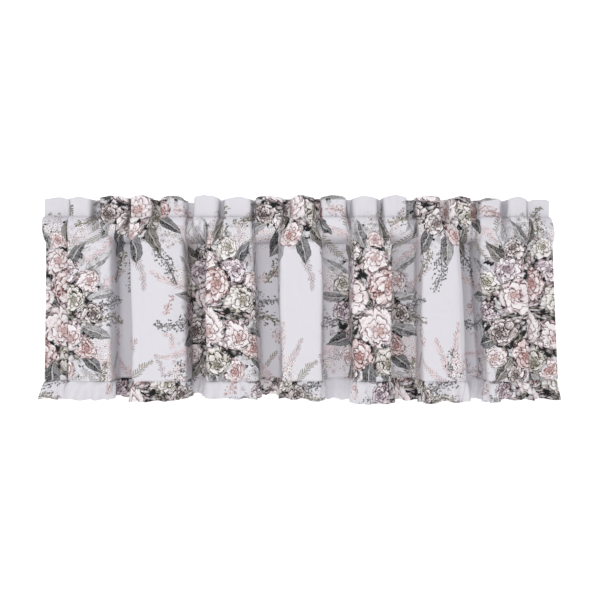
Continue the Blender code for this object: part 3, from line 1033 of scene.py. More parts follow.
@dataclass
class Stitches:
    """Rows of lockstitches, one stitch modelled and copied along each row."""

    name: str
    pitch: float = 0.0040       # from one stitch to the next
    length: float = 0.0031      # part of the thread that shows
    radius: float = 0.00026     # half the thread's thickness
    surface: float = 0.00025    # from the middle of the cloth to its face
    bend: float = 0.28          # where the thread bends down, as a share of its length
    taper: float = 0.35         # part of its thickness that it loses at its ends
    rise: float = 0.55          # how far its middle stands above the cloth, in radii
    dive: float = 1.7           # how far its ends go down, in radii
    steep: float = 4.0          # more for a thread that lies flat for longer
    sides: int = 5

    def one(self) -> tuple[np.ndarray, list[tuple[int, ...]]]:
        """Model one stitch along X: a thread that bows up and dives into the cloth at its ends.

        Returns:
            Its points, and the corners of its faces.
        """
        bpy.ops.object.select_all(action="DESELECT")
        bpy.ops.mesh.primitive_cylinder_add(
            vertices=self.sides, radius=self.radius, depth=self.length,
            rotation=(0.0, 0.5 * math.pi, 0.0),
        )
        bpy.ops.object.transform_apply(location=False, rotation=True, scale=False)
        thread = bpy.context.object
        bpy.ops.object.mode_set(mode="EDIT")
        for place in (-self.bend, self.bend):
            bpy.ops.mesh.select_all(action="SELECT")
            bpy.ops.mesh.bisect(plane_co=(place * self.length, 0.0, 0.0), plane_no=(1.0, 0.0, 0.0))
        bpy.ops.object.mode_set(mode="OBJECT")
        points = np.array([vertex.co[:] for vertex in thread.data.vertices])
        faces = [tuple(face.vertices) for face in thread.data.polygons]
        bpy.data.meshes.remove(thread.data)
        down = (np.abs(points[:, 0]) / (0.5 * self.length)) ** self.steep
        points[:, 1:] *= (1.0 - self.taper * down)[:, None]
        points[:, 2] += self.surface + self.radius * (self.rise - self.dive * down)
        return points, faces

    def frames(self, line: StitchLine) -> tuple[np.ndarray, np.ndarray]:
        """Where the stitches of a row go.

        Args:
            line: The row.

        Returns:
            The middle of each stitch, and its three directions: along, across and out.
        """
        steps = np.linalg.norm(np.diff(line.points, axis=0), axis=1)
        place = np.concatenate([[0.0], np.cumsum(steps)])
        count = int(place[-1] / self.pitch)
        middle = (np.arange(count) + 0.5) * place[-1] / count

        def at(where: np.ndarray, values: np.ndarray) -> np.ndarray:
            """Rows of values at places along the row."""
            return np.stack([np.interp(where, place, column) for column in values.T], -1)

        along = at(middle + 0.5 * self.length, line.points) - at(middle - 0.5 * self.length, line.points)
        along /= np.linalg.norm(along, axis=1, keepdims=True)
        out = at(middle, line.normals)
        out -= along * np.sum(out * along, axis=1, keepdims=True)
        out /= np.linalg.norm(out, axis=1, keepdims=True)
        return at(middle, line.points), np.stack([along, np.cross(out, along), out], 1)

    def build(self, lines: Sequence[StitchLine]) -> bpy.types.Object:
        """Copy the stitch along every row and join the copies into one piece.

        Args:
            lines: The rows.

        Returns:
            The piece.
        """
        stitch, faces = self.one()
        rows = [self.frames(line) for line in lines]
        middles = np.concatenate([middle for middle, _ in rows])
        turns = np.concatenate([turn for _, turn in rows])
        points = middles[:, None, :] + np.einsum("pk,skx->spx", stitch, turns)
        first = np.arange(len(middles)) * len(stitch)
        every = [tuple(corner + start for corner in face) for start in first for face in faces]
        mesh = bpy.data.meshes.new(self.name)
        mesh.from_pydata(points.reshape(-1, 3), [], every)
        mesh.shade_smooth()
        piece = bpy.data.objects.new(self.name, mesh)
        bpy.context.scene.collection.objects.link(piece)
        return piece


# ---------------------------------------------------------------- shader arithmetic

class Field:
    """A value that changes over the surface, with the arithmetic that adds nodes for it."""

    def __init__(self, tree: bpy.types.NodeTree, socket: bpy.types.NodeSocket) -> None:
        """Hold one output of a node.

        Args:
            tree: The node tree.
            socket: The output.
        """
        self.tree = tree
        self.socket = socket

    def node(self, kind: str, *inputs: object, **settings: object) -> "Field":
        """Add a node to the same tree.

        Args:
            kind: Type of the node.
            inputs: What goes into its inputs, in order.
            settings: Settings of the node.

        Returns:
            Its first output.
        """
        return next(iter(add_node(self.tree, kind, *inputs, **settings).values()))

    def math(self, operation: str, *others: object) -> "Field":
        """Result of one Math node."""
        return self.node("ShaderNodeMath", self, *others, operation=operation)

    def vector(self, operation: str, *others: object) -> "Field":
        """Result of one Vector Math node."""
        return self.node("ShaderNodeVectorMath", self, *others, operation=operation)

    def __add__(self, other: object) -> "Field":
        """Sum of two values."""
        return self.math("ADD", other)

    def __sub__(self, other: object) -> "Field":
        """Difference of two values."""
        return self.math("SUBTRACT", other)

    def __rsub__(self, other: float) -> "Field":
        """Difference of a number and this value."""
        return self.node("ShaderNodeMath", other, self, operation="SUBTRACT")

    def __mul__(self, other: object) -> "Field":
        """Product of two values."""
        return self.math("MULTIPLY", other)

    def __truediv__(self, other: object) -> "Field":
        """Quotient of two values."""
        return self.math("DIVIDE", other)

    def __pow__(self, other: float) -> "Field":
        """Power of a value."""
        return self.math("POWER", other)

    def parts(self) -> tuple["Field", "Field", "Field"]:
        """The three parts of a vector."""
        return tuple(add_node(self.tree, "ShaderNodeSeparateXYZ", self).values())

    def ease(self, start: object, end: object) -> "Field":
        """Smooth step of a value from 0 at the start to 1 at the end."""
        return self.node("ShaderNodeMapRange", self, start, end, interpolation_type="SMOOTHSTEP")

    def blend(self, other: object, share: "Field") -> "Field":
        """Go from this number to another by a share."""
        return self.node("ShaderNodeMix", share, self, other, data_type="FLOAT")

    def noise(self, scale: float, detail: float = 2.0) -> "Field":
        """Noise from 0 to 1 at this place."""
        return self.node("ShaderNodeTexNoise", self, scale, detail)

    def chance(self) -> "Field":
        """A number from 0 to 1 that is the same wherever this vector is the same."""
        return self.node("ShaderNodeTexWhiteNoise", self, noise_dimensions="3D")

    def cells(self, scale: float) -> dict[str, "Field"]:
        """Distance, Color and Position of the nearest cell of a flat pattern of cells."""
        return add_node(self.tree, "ShaderNodeTexVoronoi", self, scale, voronoi_dimensions="2D")

    def ramp(self, colours: Sequence[Colour]) -> "Field":
        """One of several colours, by even steps of a value from 0 to 1.

        Args:
            colours: The colours.

        Returns:
            The colour.
        """
        chosen = self.node("ShaderNodeValToRGB", self)
        stops = chosen.socket.node.color_ramp
        stops.interpolation = "CONSTANT"
        for number, colour in enumerate(colours):
            where = number / len(colours)
            stop = stops.elements[0] if number == 0 else stops.elements.new(where)
            stop.position = where
            stop.color = (*colour, 1.0)
        stops.elements.remove(stops.elements[-1])
        return chosen


def fill(tree: bpy.types.NodeTree, socket: bpy.types.NodeSocket, value: object) -> None:
    """Link a field to an input, or set a constant on it.

    Args:
        tree: The node tree.
        socket: The input.
        value: A field, a number, a vector or a colour.
    """
    if isinstance(value, Field):
        tree.links.new(value.socket, socket)
    else:
        socket.default_value = (*value, 1.0) if socket.type == "RGBA" else value


def add_node(
    tree: bpy.types.NodeTree, kind: str, *inputs: object, **settings: object
) -> dict[str, Field]:
    """Add a node to a tree.

    Args:
        tree: The node tree.
        kind: Type of the node.
        inputs: What goes into its inputs, in order.
        settings: Settings of the node.

    Returns:
        The outputs that it uses with these settings, by name.
    """
    node = tree.nodes.new(kind)
    for name, value in settings.items():
        setattr(node, name, value)
    shown = [socket for socket in node.inputs if socket.enabled]
    for socket, value in zip(shown, inputs):
        fill(tree, socket, value)
    return {output.name: Field(tree, output) for output in node.outputs if output.enabled}


def vector_of(x: Field, y: object, z: object = 0.0) -> Field:
    """A vector of three values."""
    return x.node("ShaderNodeCombineXYZ", x, y, z)


def colour_mix(share: object, first: object, second: object, kind: str = "MIX") -> Field:
    """Mix of two colours.

    Args:
        share: Share of the second colour.
        first: A field or a colour.
        second: A field or a colour.
        kind: Name of the mixing rule.

    Returns:
        The mixed colour.
    """
    some_field = next(value for value in (share, first, second) if isinstance(value, Field))
    return some_field.node(
        "ShaderNodeMix", share, first, second, data_type="RGBA", blend_type=kind
    )


def new_group(name: str, inputs: dict[str, str], outputs: dict[str, str]) -> bpy.types.NodeTree:
    """Start a shader node group.

    Args:
        name: Name of the group.
        inputs: Socket type of each input by name.
        outputs: Socket type of each output by name.

    Returns:
        The group, with its input and output nodes.
    """
    group = bpy.data.node_groups.new(name, "ShaderNodeTree")
    for label, kind in inputs.items():
        group.interface.new_socket(label, in_out="INPUT", socket_type=kind)
    for label, kind in outputs.items():
        group.interface.new_socket(label, in_out="OUTPUT", socket_type=kind)
    group.nodes.new("NodeGroupInput").name = "in"
    group.nodes.new("NodeGroupOutput").name = "out"
    return group


class Surface:
    """A material in the making."""

    def __init__(self, name: str) -> None:
        """Start the material with its Principled shader."""
        self.material = bpy.data.materials.new(name)
        self.material.use_nodes = True
        self.tree = self.material.node_tree

    def feed(self, values: dict[str, object]) -> None:
        """Link or set the shader's inputs by name."""
        for name, value in values.items():
            fill(self.tree, self.tree.nodes["Principled BSDF"].inputs[name], value)

    def relief(self, height: Field, distance: float) -> Field:
        """Normal of the surface with a small relief.

        Args:
            height: Height of the relief, from 0 to 1.
            distance: How much 1 is.

        Returns:
            The normal.
        """
        node = self.tree.nodes.new("ShaderNodeBump")
        fill(self.tree, node.inputs["Distance"], distance)
        fill(self.tree, node.inputs["Height"], height)
        return Field(self.tree, node.outputs["Normal"])


# ---------------------------------------------------------------- finishes

class Motif(NamedTuple):
    """One flower, leaf or sprig of the print, placed on the flat cloth."""

    x: float        # to the right, from the middle of its bouquet
    y: float        # upwards, from the middle of its bouquet
    length: float   # half its length, or its radius
    width: float    # half its width
    turn: float     # in degrees, from pointing to the right
    tint: float     # which of the paints it takes, from 0 to just under 1


class Bouquet(NamedTuple):
    """Motifs that are placed together, each kind from the lowest to the topmost."""

    x: float        # to the right, from the left side of the flat cloth
    y: float        # upwards, from the top edge of the valance
    roses: tuple[Motif, ...] = ()
    leaves: tuple[Motif, ...] = ()
    blossoms: tuple[Motif, ...] = ()
    sprigs: tuple[Motif, ...] = ()
    plumes: tuple[Motif, ...] = ()


def motifs(*rows: tuple) -> tuple[Motif, ...]:
    """Motifs from rows of what each of them holds, with the lengths in millimetres.

    Args:
        rows: The rows.

    Returns:
        The motifs.
    """
    return tuple(Motif(*(length / 1000.0 for length in row[:4]), *row[4:]) for row in rows)


PINK, BLUSH, MAUVE, SAGE, TAUPE = 0.1, 0.3, 0.5, 0.7, 0.9
DEEP, LIGHT = -0.06, 0.04    # added to one of the paints above
DARK, GREEN, GREY, PALE = 0.1, 0.35, 0.6, 0.85
ROSY, OLIVE, SLATE, DUSKY = 0.1, 0.35, 0.6, 0.85

TALL_BOUQUET = Bouquet(
    x=0.030,
    y=-0.255,
    roses=motifs(
        (-118, 58, 28, 26, 160, SAGE), (-126, -4, 26, 24, 185, MAUVE + DEEP),
        (-104, -104, 28, 26, 215, BLUSH), (120, 62, 29, 27, 30, BLUSH),
        (128, -10, 27, 25, 5, TAUPE + DEEP), (112, -84, 29, 27, 330, PINK + DEEP),
        (-56, 132, 29, 27, 120, TAUPE), (56, 134, 29, 27, 62, SAGE + LIGHT),
        (2, 150, 25, 22, 90, PINK + LIGHT), (-60, -140, 28, 26, 250, TAUPE + DEEP),
        (64, -134, 29, 27, 300, PINK), (0, 104, 36, 33, 85, BLUSH + LIGHT),
        (-70, 84, 36, 33, 140, MAUVE), (68, 84, 35, 32, 40, MAUVE + LIGHT), (84, 22, 36, 33, 350, SAGE),
        (-88, -48, 37, 34, 210, TAUPE + DEEP), (76, -56, 37, 34, 315, BLUSH),
        (-34, -98, 37, 34, 262, PINK + DEEP), (30, -114, 35, 32, 280, SAGE + DEEP),
        (-52, 28, 44, 40, 150, BLUSH), (24, 52, 45, 41, 40, PINK), (8, -38, 50, 46, 290, BLUSH + LIGHT),
    ),
    leaves=motifs(
        (-142, 98, 40, 12, 148, PALE), (146, 108, 42, 12, 36, PALE), (-152, 30, 36, 13, 174, GREY),
        (156, 32, 38, 12, 12, PALE), (-96, 124, 36, 15, 132, GREEN), (96, 124, 34, 14, 56, DARK),
        (28, 176, 32, 13, 78, GREEN), (-34, 168, 34, 14, 108, GREY), (-132, -70, 36, 17, 200, DARK),
        (140, -50, 36, 16, 342, GREY), (128, -120, 34, 15, 322, DARK), (-94, -136, 34, 16, 230, GREEN),
        (-16, -156, 38, 19, 262, DARK), (30, -152, 36, 17, 284, GREY),
    ),
    blossoms=motifs(
        (-150, 66, 39, 27, 150, ROSY), (150, -84, 41, 27, 335, ROSY), (90, 158, 39, 25, 60, DUSKY),
        (-136, -116, 39, 27, 220, DUSKY), (-6, 190, 34, 22, 95, SLATE), (92, -158, 39, 27, 310, SLATE),
    ),
    sprigs=motifs(
        (-190, 64, 56, 15, 160, ROSY), (196, 70, 56, 15, 24, ROSY), (-110, 182, 52, 13, 118, OLIVE),
        (-82, 192, 50, 12, 104, SLATE), (104, 184, 52, 13, 70, DUSKY), (132, 164, 48, 12, 52, OLIVE),
        (-176, -126, 52, 14, 208, DUSKY), (-186, -98, 46, 12, 194, ROSY),
        (184, -140, 54, 14, 324, ROSY), (150, -178, 48, 12, 308, OLIVE),
        (-70, -198, 44, 13, 250, OLIVE),
    ),
    plumes=motifs(
        (-182, -30, 54, 22, 188, SLATE), (188, -24, 54, 22, 355, OLIVE), (52, 194, 49, 20, 80, OLIVE),
        (-120, -184, 49, 20, 238, ROSY), (64, -196, 51, 20, 286, SLATE), (190, 14, 49, 19, 12, SLATE),
    ),
)

ROUND_BOUQUET = Bouquet(
    x=0.341,
    y=0.014,
    roses=motifs(
        (116, 24, 28, 26, 20, BLUSH), (-116, 14, 28, 26, 165, SAGE),
        (110, -46, 28, 26, 330, PINK + DEEP), (-106, -54, 28, 26, 215, TAUPE + DEEP),
        (-48, 82, 34, 31, 120, MAUVE), (50, 84, 35, 32, 60, SAGE + LIGHT),
        (74, 20, 36, 33, 20, BLUSH + LIGHT), (-74, 2, 36, 33, 190, BLUSH),
        (-56, -72, 36, 33, 240, TAUPE), (70, -56, 36, 33, 305, SAGE), (6, -98, 34, 31, 270, PINK),
        (-6, 38, 41, 36, 120, PINK), (6, -36, 44, 40, 280, BLUSH + LIGHT),
    ),
    leaves=motifs(
        (-156, -22, 40, 12, 188, PALE), (158, -10, 40, 12, 356, PALE), (-132, -92, 38, 13, 214, GREY),
        (106, 80, 36, 15, 36, GREEN), (-106, 62, 36, 15, 146, DARK), (130, -80, 36, 16, 328, DARK),
        (-80, -118, 38, 18, 242, DARK), (78, -116, 38, 17, 304, GREEN), (-24, -138, 38, 19, 264, GREY),
        (36, -134, 36, 18, 284, DARK), (10, 112, 36, 16, 82, DARK),
    ),
    blossoms=motifs(
        (-146, 30, 39, 26, 170, ROSY), (148, 20, 39, 26, 10, DUSKY), (112, -104, 39, 26, 315, SLATE),
        (-112, -104, 37, 25, 225, ROSY),
    ),
    sprigs=motifs(
        (-196, 20, 54, 14, 174, ROSY), (198, 22, 54, 14, 8, SLATE), (-160, -134, 52, 13, 222, ROSY),
        (-182, -112, 46, 12, 206, OLIVE), (160, -128, 52, 13, 322, OLIVE),
        (184, -102, 46, 12, 336, ROSY), (48, -184, 46, 13, 284, DUSKY),
    ),
    plumes=motifs(
        (-186, -62, 51, 20, 204, OLIVE), (190, -58, 51, 20, 338, ROSY), (-46, -186, 49, 20, 258, SLATE),
        (106, -170, 51, 20, 302, SLATE), (-86, -172, 46, 19, 240, OLIVE),
    ),
)

LOOSE_SPRIGS = Bouquet(
    x=0.330,
    y=-0.360,
    sprigs=motifs(
        (0, 16, 64, 15, 86, ROSY), (28, -4, 52, 13, 66, DUSKY), (-26, -6, 52, 13, 110, ROSY),
        (52, -34, 42, 12, 46, OLIVE), (-50, -34, 42, 12, 132, ROSY), (-130, -10, 56, 14, 80, ROSY),
        (-104, -28, 46, 12, 58, OLIVE), (-156, -26, 46, 12, 106, SLATE), (134, -6, 58, 14, 98, ROSY),
        (108, -30, 46, 12, 122, DUSKY), (160, -28, 48, 12, 72, OLIVE),
    ),
    plumes=motifs(
        (-6, -30, 49, 20, 96, SLATE), (-142, -48, 44, 19, 92, OLIVE), (140, -48, 44, 19, 86, SLATE),
        (122, 90, 49, 19, 84, ROSY), (-80, 60, 41, 16, 100, ROSY),
    ),
    blossoms=motifs(
        (8, -34, 41, 27, 90, ROSY), (-128, -48, 37, 22, 90, DUSKY), (136, -52, 37, 22, 90, ROSY),
    ),
)

BOUQUETS = (LOOSE_SPRIGS, TALL_BOUQUET, ROUND_BOUQUET)


class Layer(NamedTuple):
    """One layer of the print."""

    colour: Field
    mask: Field


class Spot(NamedTuple):
    """The flat cloth as one motif sees it."""

    x: Field       # along the motif, from -1 to 1
    y: Field       # across it, from -1 to 1
    seed: Field    # its number, which makes it differ from the others
    tint: Field    # which of the paints it takes, from 0 to just under 1


@dataclass(frozen=True)
class FlowerPrint:
    """Loose bouquets of roses with leaves and sprigs, painted in soft colours on a pale ground."""

    repeat: tuple[float, float] = (0.622, 0.580)
    ground: Colour = paint(215, 213, 219)
    wash: Colour = paint(204, 199, 203)
    petal_rim: Colour = paint(234, 229, 231)
    petal_washes: tuple[Colour, ...] = paints(
        (208, 184, 184), (218, 203, 206), (192, 176, 185), (196, 191, 182), (172, 160, 158),
    )
    petal_shades: tuple[Colour, ...] = paints(
        (124, 86, 85), (128, 101, 106), (80, 64, 72), (78, 71, 62), (54, 45, 44),
    )
    petal_hearts: tuple[Colour, ...] = paints(
        (166, 114, 109), (190, 148, 141), (122, 98, 108), (126, 117, 98), (84, 71, 67),
    )
    leaf_lights: tuple[Colour, ...] = paints(
        (130, 130, 133), (144, 140, 134), (176, 174, 176), (205, 203, 206),
    )
    leaf_shades: tuple[Colour, ...] = paints(
        (22, 22, 24), (42, 40, 34), (54, 54, 56), (104, 103, 104),
    )
    sprig_paints: tuple[Colour, ...] = paints(
        (222, 202, 204), (160, 154, 140), (152, 150, 152), (198, 182, 187),
    )
    sprig_shades: tuple[Colour, ...] = paints(
        (158, 124, 124), (82, 77, 64), (60, 58, 60), (110, 90, 95),
    )
    foliage_paints: tuple[Colour, ...] = paints(
        (162, 159, 160), (194, 172, 175), (140, 134, 126), (186, 182, 186), (176, 156, 161),
    )
    ink: Colour = paint(26, 22, 25)
    mark_scale: float = 0.001       # keeps a motif's number from adding to its distance
    far: float = 9.0                # place of a motif that isn't there
    brush_marks: float = 300.0      # marks of the brush in a metre
    blotches: float = 75.0          # blotches of paint in a metre
    wander: float = 0.014           # how far the motifs' outlines wander
    wanderings: float = 26.0        # how often they do so in a metre
    petals: float = 6.0             # petals in a ring of a rose
    rose_tilt: float = 0.24         # how far the rings' middle lies off the rose's
    ring_crowd: float = 0.66        # less than 1 for rings that are closer at the rose's edge
    petal_round: float = 0.7        # less than 1 for fuller petals
    petal_height: float = 0.74      # rise of a petal, beside the distance of the rings
    petal_base: float = 0.10        # where a petal's sides end in its ring
    petal_lines: float = 0.83       # strength of the ink around the petals
    leaf_lines: float = 0.75        # strength of the ink around leaves and blossoms
    leaf_bow: float = 0.22          # how far a leaf bends to one side
    veins: float = 4.0              # side veins in half a leaf's length
    sprig_bow: float = 0.50         # how far a sprig bends to one side
    sprig_leaves: float = 7.0       # small leaves in half a sprig's length
    blossom_petals: float = 5.0     # petals of a small blossom
    blossoms: float = 95.0          # small blossoms in a metre
    buds: float = 210.0             # tiny buds in a metre
    foliage_half: float = 1.0 / 7.4 # half the width of a bouquet's foliage
    foliage_rise: float = 1.06      # height of its roses beside that of its foliage
    foliage_rays: float = 10.0      # small leaves of a bouquet in a radian around its middle
    foliage_rows: float = 74.0      # small leaves of a bouquet in a metre out from its middle

    def group(self) -> bpy.types.NodeTree:
        """The print as a node group that turns a place on the flat cloth into a colour."""
        group = new_group(
            "flower_print", {"Cloth": "NodeSocketVector"}, {"Colour": "NodeSocketColor"}
        )
        painting = Painting(self, Field(group, group.nodes["in"].outputs["Cloth"]))
        group.links.new(painting.colour().socket, group.nodes["out"].inputs["Colour"])
        return group


class Painting:
    """The print in the making: the nodes from a place on the flat cloth to a colour."""

    def __init__(self, look: FlowerPrint, start: Field) -> None:
        """Spread the bouquets over the cloth and make the paint's unevenness.

        Args:
            look: Paints and sizes of the print.
            start: Place on the flat cloth.
        """
        self.look = look
        drift = add_node(start.tree, "ShaderNodeTexNoise", start, look.wanderings, 2.0)["Color"]
        drift = drift.vector("SUBTRACT", (0.5, 0.5, 0.5))
        drift = drift.vector("MULTIPLY", (look.wander, look.wander, 0.0))
        self.cloth = start.vector("ADD", drift)
        self.repeats = [self.around(bouquet) for bouquet in BOUQUETS]
        self.brush = start.noise(look.brush_marks, 3.0)    # makes the lines uneven
        self.blotch = start.noise(look.blotches, 2.0)      # makes the paint uneven

    def around(self, bouquet: Bouquet) -> Field:
        """The cloth repeated around a bouquet, from the bouquet's middle, with 1 in z."""
        half = [0.5 * side for side in self.look.repeat]
        return self.cloth.vector(
            "WRAP",
            (bouquet.x + half[0], bouquet.y + half[1], 0.0),
            (bouquet.x - half[0], bouquet.y - half[1], 0.0),
        ).vector("SUBTRACT", (bouquet.x, bouquet.y, -1.0))

    def place(self, repeated: Field, motif: Motif, seed: int) -> Field:
        """The cloth as one motif sees it.

        Args:
            repeated: What around() gives for the motif's bouquet.
            motif: The motif.
            seed: Number of the motif.

        Returns:
            A vector that goes from -1 to 1 along and across the motif, with its number and
            tint in z.
        """
        turn = math.radians(motif.turn)
        parts = []
        for size, direction in ((motif.length, turn), (motif.width, turn + 0.5 * math.pi)):
            x = math.cos(direction) / size
            y = math.sin(direction) / size
            parts.append(repeated.vector("DOT_PRODUCT", (x, y, -x * motif.x - y * motif.y)))
        return vector_of(*parts, (seed + motif.tint) * self.look.mark_scale)

    def gather(self, kind: str) -> Spot:
        """Find the topmost motif of one kind.

        Args:
            kind: Name of the motifs in a bouquet.

        Returns:
            The cloth as that motif sees it.
        """
        found: object = (0.0, self.look.far, 0.0)
        seed = 1
        for repeated, bouquet in zip(self.repeats, BOUQUETS):
            for motif in getattr(bouquet, kind):
                local = self.place(repeated, motif, seed)
                inside = local.vector("LENGTH").math("LESS_THAN", 1.0)
                found = inside.node("ShaderNodeMix", inside, found, local, data_type="VECTOR")
                seed += 1
        x, y, mark = found.parts()
        mark = mark / self.look.mark_scale
        return Spot(x, y, mark.math("FLOOR"), mark.math("FRACT"))

    def rose(self, spot: Spot) -> Layer:
        """Full-blown rose with rings of petals.

        Args:
            spot: What gather() found.

        Returns:
            The painted flower.
        """
        look = self.look
        x, y, seed, tint = spot
        tone = (tint * 5.0).math("FRACT") - 0.5
        border = (x * x + y * y).math("SQRT")
        x = x - (1.0 - border * border) * look.rose_tilt
        away = (x * x + y * y).math("SQRT")
        wobble = vector_of(x, y, seed).noise(2.0, 2.0) - 0.5
        around = y.math("ARCTAN2", x) * (look.petals / math.tau) + wobble * 2.4
        size = vector_of(seed, 0.5, 0.5).chance() * 1.2 + 3.3
        rings = (away ** look.ring_crowd) * size + wobble * 1.9 - 0.25
        ring = rings.math("FLOOR")
        part = rings - ring
        phase = around + ring * 0.5 + seed * 0.37
        turned = phase * math.pi
        rises = (turned.math(wave).math("ABSOLUTE") for wave in ("SINE", "COSINE"))
        rim, next_rim = (
            rise ** look.petal_round * look.petal_height + look.petal_base for rise in rises
        )
        outside = part.math("GREATER_THAN", rim)
        base = (part + 1.0 - next_rim).blend(part - rim, outside)
        edge = (rim - part).blend(next_rim + 1.0 - part, outside)
        index = phase.math("FLOOR").blend((phase + 0.5).math("FLOOR"), outside)
        index = index.math("FLOORED_MODULO", look.petals)
        petal = vector_of(index, ring + outside, seed).chance()
        middle = away.ease(0.05, 0.70)
        strokes = vector_of(around * 3.4, rings * 0.7, seed).noise(2.4, 2.5) - 0.5
        light = base.ease(-0.05, 0.80) * 0.86 + petal * 0.34 + middle * 0.42 - 0.54
        light = light + edge.ease(0.30, 0.04) * 0.30 - border.ease(0.60, 1.0) * 0.16
        light = light + strokes * 1.5 + (self.brush - 0.5) * 0.8 + (self.blotch - 0.5) * 0.8
        light = light + tone * 0.55
        shade = colour_mix(light.ease(-0.70, -0.05), look.ink, tint.ramp(look.petal_shades))
        colour = colour_mix(light.ease(-0.04, 0.42), shade, tint.ramp(look.petal_washes))
        colour = colour_mix(light.ease(0.48, 0.98), colour, look.petal_rim)
        heart = (away + strokes * 0.4).ease(0.42, 0.10) * 0.55
        colour = colour_mix(heart, colour, tint.ramp(look.petal_hearts))
        line = base.ease(0.22, 0.02) * (self.brush + strokes).ease(0.32, 0.54)
        scallop = (around * math.pi).math("SINE").math("ABSOLUTE") ** 0.6 * 0.20
        reach = border + wobble * 0.34 + (self.brush - 0.5) * 0.06 - scallop
        outline = reach.ease(0.68, 0.78) * self.brush.ease(0.32, 0.54)
        colour = colour_mix(line.math("MAXIMUM", outline) * look.petal_lines, colour, look.ink)
        return Layer(colour, reach.math("LESS_THAN", 0.78))

    def leaf(self, spot: Spot) -> Layer:
        """Broad leaf with a midrib and side veins.

        Args:
            spot: What gather() found.

        Returns:
            The painted leaf.
        """
        look = self.look
        x, y, seed, tint = spot
        bow = 1.0 - x * x
        across = y - bow * look.leaf_bow + 0.10 + (self.blotch - 0.5) * 0.44
        width = bow * (0.92 - x * 0.30)
        share = across.math("ABSOLUTE") / width.math("MAXIMUM", 0.001)
        side = across.math("GREATER_THAN", 0.0)
        veins = (x * look.veins - share * 1.3 + self.blotch).math("FRACT")
        veins = (veins - 0.5).math("ABSOLUTE")
        place = vector_of(x * 2.0 - share, across * 7.0, (seed + tint) * 0.05)
        strokes = place.noise(2.6, 2.5) - 0.5
        light = side * 0.34 + (self.brush - 0.5) * 1.1 + share.ease(0.35, 1.0) * 0.30 + veins * 0.6
        light = light + strokes * 2.2 + (self.blotch - 0.5) * 1.6 - 0.04
        pale = tint.ramp(look.leaf_lights)
        colour = colour_mix(light.ease(-0.1, 0.8), tint.ramp(look.leaf_shades), pale)
        rib = share.ease(0.12, 0.0).math("MAXIMUM", veins.ease(0.12, 0.0) * 0.5)
        colour = colour_mix(rib * 0.65, colour, look.petal_rim)
        border = share.ease(0.76, 1.0) * self.brush.ease(0.35, 0.56)
        colour = colour_mix(border * look.leaf_lines, colour, look.ink)
        return Layer(colour, share.math("LESS_THAN", 1.0))

    def sprig(self, spot: Spot) -> Layer:
        """Stem with slanting pairs of small leaves.

        Args:
            spot: What gather() found.

        Returns:
            The painted sprig.
        """
        look = self.look
        x, y, seed, tint = spot
        bow = 1.0 - x * x
        across = y - (bow - 0.5) * look.sprig_bow
        side = across.math("ABSOLUTE")
        above = across.math("GREATER_THAN", 0.0)
        along = (x - side * 0.34) * look.sprig_leaves + above * 0.45 + seed * 0.31
        cell = along.math("FLOOR")
        slot = along - cell - 0.5
        fall = vector_of(cell, above, seed).chance()
        out = side / ((0.86 - x * 0.34) * (fall * 0.6 + 0.5))
        pod = (out * math.pi).math("SINE").math("MAXIMUM", 0.0) ** 0.8
        leaf = (slot.math("ABSOLUTE") - pod * (fall * 0.20 + 0.24)).ease(0.02, -0.08)
        leaf = leaf * out.math("LESS_THAN", 1.0)
        stem = side.ease(0.100, 0.045)
        mask = leaf.math("MAXIMUM", stem) * bow.ease(0.02, 0.14)
        mask = mask * (fall * 0.35 + self.brush * 1.3 + 0.02).math("MINIMUM", 1.0)
        light = fall * 0.9 + (self.brush - 0.5) * 2.2 - 0.10
        colour = self.painted(light, tint)
        return Layer(colour_mix(self.brush.ease(0.60, 0.74) * 0.35, colour, look.ink), mask)

    def plume(self, spot: Spot) -> Layer:
        """Feathery spray of tiny buds that thins out to its sides and its tip.

        Args:
            spot: What gather() found.

        Returns:
            The painted spray.
        """
        look = self.look
        x, y, _, tint = spot
        cells = self.cloth.cells(look.buds)
        chance, _, _ = cells["Color"].parts()
        away = cells["Distance"]
        bow = 1.0 - x * x
        side = (y - (bow - 0.5) * look.sprig_bow).math("ABSOLUTE")
        out = side / (0.80 - x * 0.40)
        kept = (out + (chance - 0.5) * 1.2).ease(0.75, 0.60) * bow.ease(0.02, 0.20)
        bud = away.ease(0.56, 0.40) * kept
        stem = side.ease(0.085, 0.040) * bow.ease(0.02, 0.14)
        light = chance * 0.9 + (0.45 - away) * 1.2 + (self.brush - 0.5) * 1.2 - 0.05
        colour = self.painted(light, tint)
        colour = colour_mix(away.ease(0.30, 0.50) * 0.35, colour, look.ink)
        return Layer(colour, bud.math("MAXIMUM", stem))

    def painted(self, light: Field, tint: Field) -> Field:
        """Colour of a small leaf or bud by how light it is and by its sprig's paint."""
        shades = tint.ramp(self.look.sprig_shades)
        colour = colour_mix(light.ease(0.05, 0.75), shades, tint.ramp(self.look.sprig_paints))
        return colour_mix(light.ease(0.85, 1.2) * 0.6, colour, self.look.petal_rim)

